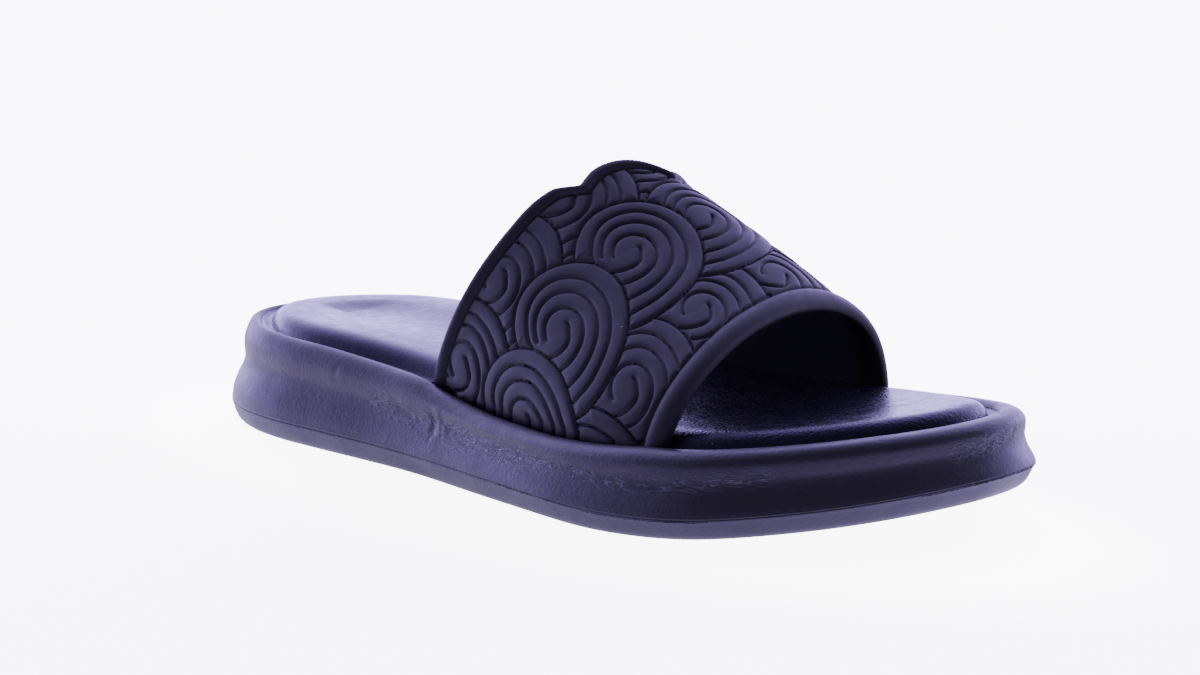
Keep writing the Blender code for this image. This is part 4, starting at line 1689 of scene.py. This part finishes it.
@dataclass(frozen=True)
class Ring:
    """One groove of the spiral motif, drawn round the motif's centre.

    `start` is the angle of its free end, `front_start` the same in the front row. It
    runs on until a neighbour covers it.
    """

    radius: float
    start: float
    front_start: float
    end: float = 150.0
    is_edge: bool = False


class Row(Enum):
    """Rows of the relief; the middle row lies on top."""

    MIDDLE = 0
    REAR = 1
    FRONT = 2


@dataclass(frozen=True)
class Disc:
    """One motif of the relief at its place in the pattern."""

    around: float
    forward: float
    width: float
    depth: float
    row: Row
    rank: int


class CloudRelief:
    """The traditional cloud and wave relief, from one motif in three overlapping rows."""

    PLACES = {
        # place around the strap, place forward, share of the width, share of the depth
        Row.MIDDLE: (
            (-0.0988, 0.0387, 1.00, 1.02), (-0.0711, 0.0389, 1.00, 1.02),
            (-0.0449, 0.0377, 1.00, 1.045), (-0.01855, 0.0368, 1.01, 1.085),
            (0.0050, 0.0379, 1.08, 1.12), (0.0337, 0.0380, 1.00, 1.08),
            (0.0600, 0.0385, 1.00, 1.03), (0.0862, 0.0390, 1.00, 1.00)),
        Row.REAR: (
            (-0.0977, 0.0106, 0.97, 0.96), (-0.0708, 0.0098, 0.97, 0.96),
            (-0.0449, 0.0081, 1.01, 1.02), (-0.0182, 0.0049, 1.01, 1.10),
            (0.0072, 0.0056, 1.00, 1.10), (0.0337, 0.0085, 1.00, 1.05),
            (0.0600, 0.0100, 1.00, 1.00), (0.0862, 0.0100, 1.00, 1.00)),
        Row.FRONT: (
            (-0.1000, 0.0640, 1.00, 0.95), (-0.0729, 0.0652, 1.00, 0.95),
            (-0.0463, 0.0672, 1.02, 0.96), (-0.0188, 0.0685, 1.03, 1.07),
            (0.0082, 0.0705, 1.03, 1.08), (0.0354, 0.0700, 1.03, 1.04),
            (0.0625, 0.0695, 1.03, 1.00), (0.0895, 0.0690, 1.03, 1.00)),
    }
    DRIFT = (
        # place around the strap, how far the middle and rear rows are moved there
        (-0.0900, 0.0020), (-0.0642, 0.0015), (-0.0596, 0.0012), (-0.0557, 0.0005),
        (-0.0512, 0.0), (-0.0300, 0.0), (-0.0217, 0.0008), (-0.0118, 0.0009),
        (-0.0072, 0.0009), (-0.0033, 0.0004), (0.0012, 0.0), (0.0900, 0.0),
    )
    SHARES = (
        # angle from the medial side towards the front, share of the edge, of the rings
        (-180.0, 0.86, 0.70), (-160.0, 0.72, 0.55), (-137.0, 0.690, 0.59),
        (-126.0, 0.745, 0.650), (-115.0, 0.800, 0.705), (-104.0, 0.857, 0.780),
        (-92.0, 0.920, 0.870), (-80.0, 0.964, 0.940), (-69.0, 0.986, 0.980),
        (-50.0, 1.000, 1.000), (-33.0, 0.996, 0.975), (-16.0, 0.977, 0.945),
        (0.0, 0.955, 0.905), (16.0, 0.938, 0.880), (31.0, 0.926, 0.873),
        (47.0, 0.933, 0.887), (61.0, 0.949, 0.917), (76.0, 0.976, 0.952),
        (90.0, 1.008, 0.990), (104.0, 1.037, 1.036), (118.0, 1.066, 1.068),
        (131.0, 1.080, 1.100), (155.0, 1.020, 1.080), (180.0, 0.86, 0.70),
    )
    EDGE = Ring(0.02065, -180.0, -180.0, 180.0, True)
    RINGS = (EDGE, Ring(0.01640, -138.0, -90.0), Ring(0.01225, -130.0, -90.0),
             Ring(0.00762, -133.0, -133.0))
    HOOK = ((0.0034, -0.0007), (0.0031, 0.0001), (0.0025, 0.0009), (0.0016, 0.0019),
            (0.0005, 0.0030), (-0.0007, 0.0034), (-0.0022, 0.0032), (-0.0038, 0.0024),
            (-0.0052, 0.0012), (-0.0060, 0.0001), (-0.0067, -0.0013))
    GROOVE = 0.00105
    CREVICE = 0.00036
    PILLOW = 0.0011
    PILLOW_SHARE = 0.25
    DIVE = 0.00040
    DIVE_REACH = 0.0016
    CROWN = 0.00020
    SNAP = 0.00021

    def __init__(self, surface: StrapSurface) -> None:
        """Lay out the motifs and their visible grooves.

        Args:
            surface: The strap's surface.
        """
        self.surface = surface
        self.discs: list[Disc] = []
        for row in (Row.MIDDLE, Row.REAR, Row.FRONT):
            for values in self.PLACES[row]:
                self.discs.append(Disc(*values, row, len(self.discs)))
        self._collect()

    def _drift(self, around: Array, row: Row) -> Array:
        """Pattern places after the moulded pattern's drift over the foot.

        Args:
            around: Places around the strap.
            row: Row of the relief.

        Returns:
            The moved places.
        """
        if row is Row.FRONT:
            return around
        table = np.array(self.DRIFT)
        return around + np.interp(around, table[:, 0], table[:, 1])

    def _steady(self, around: Array, row: Row) -> Array:
        """Pattern places before the drift.

        Args:
            around: Places around the strap.
            row: Row of the relief.

        Returns:
            The places as in the tables.
        """
        steady = around
        for _ in range(4):
            steady = around - (self._drift(steady, row) - steady)
        return steady

    def share(self, angle: Array, is_edge: bool) -> Array:
        """Radius of a ring at an angle, as a share of its largest radius."""
        table = np.array(self.SHARES)
        return hermite(table[:, 0], table[:, 1 if is_edge else 2], angle)

    def inside(self, disc: Disc, around: Array, forward: Array, margin: float = 0.0) -> Array:
        """Whether pattern points lie on a motif.

        Args:
            disc: The motif.
            around: Pattern coordinate around the strap.
            forward: Pattern coordinate towards the toe.
            margin: How far inside its edge.

        Returns:
            True for each point on it.
        """
        x = (self._steady(around, disc.row) - disc.around) / disc.width
        y = (forward - disc.forward) / disc.depth
        angle = np.degrees(np.arctan2(y, x))
        return np.hypot(x, y) < self.EDGE.radius * self.share(angle, True) - margin

    def _covers(self, disc: Disc) -> list[Disc]:
        """Motifs that lie over this one."""
        return [other for other in self.discs
                if (other.row == disc.row and other.rank < disc.rank)
                or (other.row == Row.MIDDLE and disc.row != Row.MIDDLE)]

    def _lines(self, row: Row) -> list[tuple[Array, bool]]:
        """The motif's grooves as points about its centre.

        Args:
            row: Row that the motif is in.

        Returns:
            Points of each groove, and whether it is the edge.
        """
        lines = []
        for ring in self.RINGS:
            start = ring.front_start if row is Row.FRONT else ring.start
            angle = np.arange(start, ring.end, 0.4)
            radius = ring.radius * self.share(angle, ring.is_edge)
            turned = np.radians(angle)
            lines.append((np.stack([radius * np.cos(turned), radius * np.sin(turned)], axis=1),
                          ring.is_edge))
        lines.append((refine_rows(np.array(self.HOOK), 16), False))
        return lines

    def _collect(self) -> None:
        """Gather the points of all visible grooves."""
        places, ranks = [], []
        for disc in self.discs:
            for line, is_edge in self._lines(disc.row):
                around = self._drift(disc.around + line[:, 0] * disc.width, disc.row)
                forward = disc.forward + line[:, 1] * disc.depth
                shown = np.ones(len(line), bool)
                for cover in self._covers(disc):
                    shown &= ~self.inside(cover, around, forward, 0.0001)
                places.append(np.stack([around, forward], axis=1)[shown])
                ranks.append(np.full(int(shown.sum()), disc.rank if is_edge else -1))
        self.places = np.concatenate(places)
        self.ranks = np.concatenate(ranks)

    def owner(self, around: Array, forward: Array) -> Array:
        """Rank of the motif that shows at each pattern point.

        Args:
            around: Pattern coordinate around the strap.
            forward: Pattern coordinate towards the toe.

        Returns:
            The rank, 999 where there is none.
        """
        found = np.full(around.shape, 999)
        for disc in self.discs:
            free = found == 999
            found = np.where(free & self.inside(disc, around, forward), disc.rank, found)
        return found

    def profile(self, distance: Array) -> Array:
        """Depth beside a groove: a narrow crevice between pillow-shaped bands."""
        crevice = np.exp(-(distance / self.CREVICE) ** 1.5)
        pillow = np.exp(-distance / self.PILLOW)
        return self.GROOVE * ((1.0 - self.PILLOW_SHARE) * crevice + self.PILLOW_SHARE * pillow)

    def carve(self, around: Array, forward: Array, extra: Array) -> tuple[Array, Array, Array]:
        """Heights of the relief, with grid points drawn onto the grooves.

        Args:
            around: Pattern coordinate of each grid point.
            forward: Pattern coordinate of each grid point.
            extra: Points (around, forward) of the grooves beside the beads.

        Returns:
            around and forward of the moved points, and their heights over the field.
        """
        places = np.concatenate([self.places, extra])
        ranks = np.concatenate([self.ranks, np.full(len(extra), -1)])
        scale = np.array([1.0, 0.9])
        tree = self._tree(places * scale)
        edges = np.flatnonzero(ranks >= 0)
        edge_tree = self._tree(places[edges] * scale)
        flat = np.stack([around, forward], axis=-1).reshape(-1, 2)
        owners = self.owner(around, forward).reshape(-1)
        distance = np.zeros(len(flat))
        dive = np.zeros(len(flat))
        moved = flat.copy()
        for k, (x, y) in enumerate(flat * scale):
            _, number, gap = tree.find((x, y, 0.0))
            if gap < self.SNAP:
                moved[k] = places[number]
                gap = 0.0
            distance[k] = gap
            _, number, reach = edge_tree.find((x, y, 0.0))
            if ranks[edges[number]] < owners[k]:
                dive[k] = math.exp(-reach / self.DIVE_REACH)
        height = self.CROWN - self.profile(distance) - self.DIVE * dive
        size = around.shape
        return moved[:, 0].reshape(size), moved[:, 1].reshape(size), height.reshape(size)

    @staticmethod
    def _tree(points: Array) -> KDTree:
        """Search tree over flat points.

        Args:
            points: The points.

        Returns:
            The tree.
        """
        tree = KDTree(len(points))
        for number, (x, y) in enumerate(points):
            tree.insert((x, y, 0.0), number)
        tree.balance()
        return tree


@dataclass
class Strap:
    """The one-piece strap: relief outside, smooth lining inside, a bead along each edge."""

    surface: StrapSurface
    columns: int = 420
    field_rows: int = 190
    lining_rows: int = 7
    lateral_bias: float = 0.11

    REAR_PROFILE = ((0.00, -2.00), (-0.01, -1.30), (0.00, -0.60), (0.09, 0.35), (0.22, 0.85),
                    (0.40, 1.00), (0.60, 0.90), (0.80, 0.40), (0.94, -0.50), (1.00, -0.90))
    FRONT_PROFILE = ((1.00, -0.90), (0.965, -0.60), (0.90, 0.15), (0.78, 0.68), (0.62, 0.94),
                     (0.48, 1.00), (0.32, 0.88), (0.16, 0.50), (0.05, -0.20), (0.00, -1.00),
                     (0.005, -1.80))

    def build(self) -> bpy.types.Object:
        """Make the strap.

        Returns:
            The strap.
        """
        surface = self.surface
        sizes = surface.sizes
        length = surface.PATTERN_LENGTH
        even = np.linspace(-1.0, 1.0, self.columns)
        turn = even + self.lateral_bias * (even ** 2 - 1.0)
        base_t = np.interp(turn, surface.turns, surface.table[4])
        ruling = surface.ruling(base_t)
        edge = surface.scallop(turn) - sizes.rear_overhang
        stop = ruling + sizes.front_overhang
        rear_groove = (edge + sizes.rear_bead) / ruling * length
        front_groove = (stop - sizes.front_bead) / ruling * length

        def line(distance: Array, height: float) -> tuple[Array, Array, Array]:
            forward = distance / ruling * length
            half = surface.half_length(forward)
            return turn * half, forward, np.full(self.columns, height)

        rows = []
        for place, rise in self.REAR_PROFILE:
            rows.append(line(edge + place * sizes.rear_bead, (rise - 1.0) * sizes.bead_rise))
        field = self._field(turn, rear_groove, front_groove)
        rows.extend(field)
        for place, rise in self.FRONT_PROFILE:
            rows.append(line(stop - place * sizes.front_bead, (rise - 1.0) * sizes.bead_rise))
        inner = -sizes.bead_rise - sizes.wall
        for step in range(self.lining_rows + 1):
            share = step / self.lining_rows
            low, high = edge + 0.0003, stop - 0.0003
            rows.append(line(high + (low - high) * share, inner))
        around = np.stack([row[0] for row in rows])
        forward = np.stack([row[1] for row in rows])
        height = np.stack([row[2] for row in rows])
        t, share = surface.arch_place(around, forward)
        t[:, 0] = 0.0
        t[:, -1] = 1.0
        points = surface.offset(t, share, height - sizes.skin_inset)
        feet = []
        for column in (0, -1):
            foot = points[:, column].copy()
            share = foot[:, 0] / surface.shape.sizes.length
            foot[:, 2] = (surface.shape.rim(share) - surface.shape.sizes.trench_depth
                          + surface.shape.sizes.joint_gap)
            feet.append(foot)
        points = np.concatenate([feet[0][:, None], points, feet[1][:, None]], axis=1)
        count_rows, count_columns = points.shape[:2]
        faces: list[Sequence[int]] = MeshKit.grid_faces(count_rows, count_columns, wrap_rows=True)
        faces.append([k * count_columns for k in range(count_rows)])
        faces.append([k * count_columns + count_columns - 1 for k in range(count_rows)])
        return MeshKit.add("strap_shell", surface.place(points).reshape(-1, 3), faces)

    def _field(self, turn: Array, rear: Array, front: Array) -> list[tuple[Array, Array, Array]]:
        """Rows of the relief between the grooves beside the two beads.

        Args:
            turn: Place around the strap, -1 to 1.
            rear: Groove beside the rear bead.
            front: Groove beside the front bead.

        Returns:
            Rows as (around, forward, height).
        """
        surface = self.surface
        relief = CloudRelief(surface)
        parts = np.linspace(0.0, 1.0, self.field_rows + 2)[1:-1, None]
        forward = rear + (front - rear) * parts
        around = turn * surface.half_length(forward)
        fine = np.linspace(-1.0, 1.0, 1400)
        extra = []
        for groove in (rear, front):
            along = np.interp(fine, turn, groove)
            extra.append(np.stack([fine * surface.half_length(along), along], axis=1))
        moved_around, moved_forward, relief_height = relief.carve(
            around, forward, np.concatenate(extra))
        moved_around[:, 0], moved_around[:, -1] = around[:, 0], around[:, -1]
        sizes = surface.sizes
        return [(moved_around[k], moved_forward[k], relief_height[k] - sizes.bead_rise)
                for k in range(self.field_rows)]


@dataclass
class Studio:
    """Bright table and backdrop, soft light from behind, and the photo's camera."""

    shape: SoleShape
    azimuth: float = 42.165
    elevation: float = 12.467
    roll: float = -0.408
    distance: float = 0.80225
    target_height: float = 0.01925
    lens: float = 92.10
    shift: tuple[float, float] = (0.00419, 0.04718)
    backdrop: float = 9.0
    near_side: float = 0.38
    far_side: float = 6.2
    low_light: tuple[float, float] = (0.02, 0.46)
    high_light: float = 0.47
    table_glow: float = 7.0
    table_bounce: float = 1.28
    table_ends: float = 1.7
    table_near: float = 0.09
    tint: tuple[float, float, float] = (0.96, 0.86, 1.27)
    far_tint: tuple[float, float, float] = (0.77, 0.59, 1.48)

    SOFTBOXES = (
        # name, place, size of its side, power
        ("key_softbox", (0.10, 0.75, 0.80), 0.9, 0.8),
        ("toe_softbox", (0.75, -0.35, 0.55), 0.7, 1.0),
    )

    def build(self) -> None:
        """Make the floor, the lights and the camera."""
        self._floor()
        self._world()
        for row in self.SOFTBOXES:
            self._light(*row)
        self._camera()

    def _floor(self) -> None:
        """A plain pale table under the sole, lit from below like a light table."""
        size = 6.0
        points = np.array([(-size, -size, 0.0), (size, -size, 0.0), (size, size, 0.0),
                           (-size, size, 0.0)]) - np.array([0.0, 0.0, 0.0002])
        floor = MeshKit.add("floor", points, [[0, 1, 2, 3]])
        maker = MaterialMaker("floor_paper")
        fade = maker.remap(maker.noise(3.0, 2.0), 0.3, 0.7, 0.0, 1.0)
        maker.feed(maker.mix(fade, (0.93, 0.93, 0.94), (0.95, 0.95, 0.955)), NodeInput.COLOR)
        maker.set(NodeInput.ROUGHNESS, 0.9)
        maker.set(NodeInput.SPECULAR, 0.1)
        seen = maker.tree.nodes.new("ShaderNodeLightPath").outputs["Is Camera Ray"]
        place = maker.coordinates.outputs["Object"]
        turn = math.radians(self.azimuth)
        unit = maker.vector("NORMALIZE", place, (0.0, 0.0, 0.0), "Vector")
        behind = maker.remap(maker.vector("DOT_PRODUCT", unit,
                                          (math.cos(turn), math.sin(turn), 0.0), "Value"),
                             -0.75, 0.45, self.table_near, self.table_bounce)
        oval = maker.vector("MULTIPLY", place, (1.0 / 0.062, 1.0 / 0.138, 0.0), "Vector")
        ring = maker.remap(maker.vector("LENGTH", oval, (0.0, 0.0, 0.0), "Value"),
                           1.05, 1.45, 1.0, 0.0)
        ends = maker.vector("MULTIPLY", place, (0.0, 1.0, 0.0), "Vector")
        ends = maker.remap(maker.vector("LENGTH", ends, (0.0, 0.0, 0.0), "Value"),
                           0.03, 0.13, self.table_bounce, self.table_ends * self.table_bounce)
        ring = maker.math("MULTIPLY", ring, ends)
        glow = maker.math("ADD", maker.math("MULTIPLY", seen, self.table_glow),
                          maker.math("MAXIMUM", behind, ring))
        maker.feed(maker.mix(seen, self.tint, (1.0, 0.995, 1.0)), NodeInput.GLOW_COLOR)
        maker.feed(glow, NodeInput.GLOW)
        floor.data.materials.append(maker.material)

    def _world(self) -> None:
        """Surroundings that are bright behind the shoe and dim on the near side."""
        world = bpy.data.worlds.new("studio_world")
        world.use_nodes = True
        tree = world.node_tree
        background = tree.nodes["Background"]
        direction = tree.nodes.new("ShaderNodeTexCoord")
        away = tree.nodes.new("ShaderNodeVectorMath")
        away.operation = "DOT_PRODUCT"
        turn = math.radians(self.azimuth)
        away.inputs[1].default_value = (math.cos(turn), math.sin(turn), 0.0)
        tree.links.new(direction.outputs["Generated"], away.inputs[0])
        ramp = tree.nodes.new("ShaderNodeMapRange")
        ramp.interpolation_type = "SMOOTHSTEP"
        ramp.inputs["From Min"].default_value = -0.35
        ramp.inputs["From Max"].default_value = 0.75
        tree.links.new(away.outputs["Value"], ramp.inputs["Value"])
        split = tree.nodes.new("ShaderNodeSeparateXYZ")
        tree.links.new(direction.outputs["Generated"], split.inputs["Vector"])
        lid = tree.nodes.new("ShaderNodeMapRange")
        lid.interpolation_type = "SMOOTHSTEP"
        lid.inputs["From Min"].default_value = self.low_light[0]
        lid.inputs["From Max"].default_value = self.low_light[1]
        lid.inputs["To Min"].default_value = 1.0
        lid.inputs["To Max"].default_value = self.high_light
        tree.links.new(split.outputs["Z"], lid.inputs["Value"])
        part = tree.nodes.new("ShaderNodeMath")
        part.operation = "MULTIPLY"
        tree.links.new(ramp.outputs["Result"], part.inputs[0])
        tree.links.new(lid.outputs["Result"], part.inputs[1])
        blend = tree.nodes.new("ShaderNodeMix")
        blend.data_type = "RGBA"
        tree.links.new(part.outputs["Value"], blend.inputs["Factor"])
        near = [channel * self.near_side for channel in self.tint]
        far = [channel * self.far_side for channel in self.far_tint]
        blend.inputs["A"].default_value = (*near, 1.0)
        blend.inputs["B"].default_value = (*far, 1.0)
        tree.links.new(blend.outputs["Result"], background.inputs["Color"])
        plain = tree.nodes.new("ShaderNodeBackground")
        plain.inputs["Color"].default_value = (1.0, 1.0, 1.0, 1.0)
        plain.inputs["Strength"].default_value = self.backdrop
        path = tree.nodes.new("ShaderNodeLightPath")
        choice = tree.nodes.new("ShaderNodeMixShader")
        tree.links.new(path.outputs["Is Camera Ray"], choice.inputs["Fac"])
        tree.links.new(background.outputs["Background"], choice.inputs[1])
        tree.links.new(plain.outputs["Background"], choice.inputs[2])
        tree.links.new(choice.outputs["Shader"], tree.nodes["World Output"].inputs["Surface"])
        bpy.context.scene.world = world

    def _light(self, name: str, spot: Sequence[float], size: float, power: float) -> None:
        """A square softbox that faces the shoe.

        Args:
            name: Name of the light.
            spot: Its place.
            size: Length of its side.
            power: Power in watts.
        """
        data = bpy.data.lights.new(name, "AREA")
        data.shape = "SQUARE"
        data.size = size
        data.energy = power
        data.color = self.tint
        lamp = bpy.data.objects.new(name, data)
        lamp.location = spot
        aim = Vector((0.0, 0.0, 0.03)) - Vector(spot)
        lamp.rotation_euler = aim.to_track_quat("-Z", "Y").to_euler()
        bpy.context.scene.collection.objects.link(lamp)

    def _camera(self) -> None:
        """The camera that took the photo, as worked out from the outline."""
        azimuth, elevation = math.radians(self.azimuth), math.radians(self.elevation)
        back = Vector((-math.cos(azimuth) * math.cos(elevation),
                       -math.sin(azimuth) * math.cos(elevation), math.sin(elevation)))
        right = Vector((0.0, 0.0, 1.0)).cross(back).normalized()
        up = back.cross(right)
        turn = math.radians(self.roll)
        rolled_right = right * math.cos(turn) + up * math.sin(turn)
        rolled_up = up * math.cos(turn) - right * math.sin(turn)
        target = Vector((-self.shape.centre, 0.0, self.target_height))
        spot = target + back * self.distance
        data = bpy.data.cameras.new("photo_camera")
        data.sensor_width = 36.0
        data.lens = self.lens
        data.shift_x, data.shift_y = self.shift
        data.clip_start = 0.01
        data.clip_end = 50.0
        camera = bpy.data.objects.new("photo_camera", data)
        axes = Matrix((rolled_right, rolled_up, back)).transposed().to_4x4()
        camera.matrix_world = Matrix.Translation(spot) @ axes
        bpy.context.scene.collection.objects.link(camera)
        bpy.context.scene.camera = camera


def main() -> None:
    """Build every piece in order and report it."""
    logging.basicConfig(level=logging.INFO, format="%(name)s: %(message)s")
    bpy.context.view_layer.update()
    shape = SoleShape(SoleSizes())
    surface = StrapSurface(shape, StrapSizes())
    # The band's foam is given a lighter, more lavender colour than the midsole's: painted bounce
    # light from the pale table below.
    band = MouldedFoam("outsole_foam", (0.0125, 0.0112, 0.0232), (0.0160, 0.0143, 0.0290),
                       0.46).build()
    foam = MouldedFoam("midsole_foam", wrinkled=True).build()
    skin = GrainedSkin("footbed_skin").build()
    rubber = MattRubber("strap_rubber").build()

    outsole = Outsole(shape)
    dress(outsole.build(), band, "outsole")
    dress(TreadLands(outsole).build(band), band)
    fine = SoleShape(SoleSizes(), 560)
    skin_lines = SideSkin(float(fine.runs()[fine.half_count]))
    dress(Midsole(fine, skin_lines).build(), foam, "midsole")
    toe = float(fine.runs()[fine.half_count])
    # Dark rubber threads sunk in the parting groove: painted shade of the open seam.
    gap_shade_spans = ((0.1610, 0.1760), (0.1800, 0.1900), (0.2160, 0.2230), (toe - 0.016, toe + 0.016))
    dress(PartingFlashAndShade(fine, "parting_gap_shade", gap_shade_spans, 0.00017, -0.00012).build(rubber), rubber)
    flash = ((0.1440, 0.1720), (0.1930, 0.2300), (toe - 0.026, toe + 0.012))
    dress(PartingFlashAndShade(fine, "parting_flash", flash, 0.00011, -0.00042).build(band), band)
    pad = dress(FootbedPad(shape, surface).build(), skin, "insole")
    strap = dress(Strap(surface).build(), rubber, "strap")
    dust = PlainDust("pale_dust", (0.20, 0.18, 0.26)).build()
    dress(DustSpecks("pad_dust", 900.0, 0.00013, 31).build(pad, dust), dust)
    dress(DustSpecks("strap_dust", 1300.0, 0.00013, 32).build(strap, dust), dust)
    Studio(shape).build()


if __name__ == "__main__":
    main()
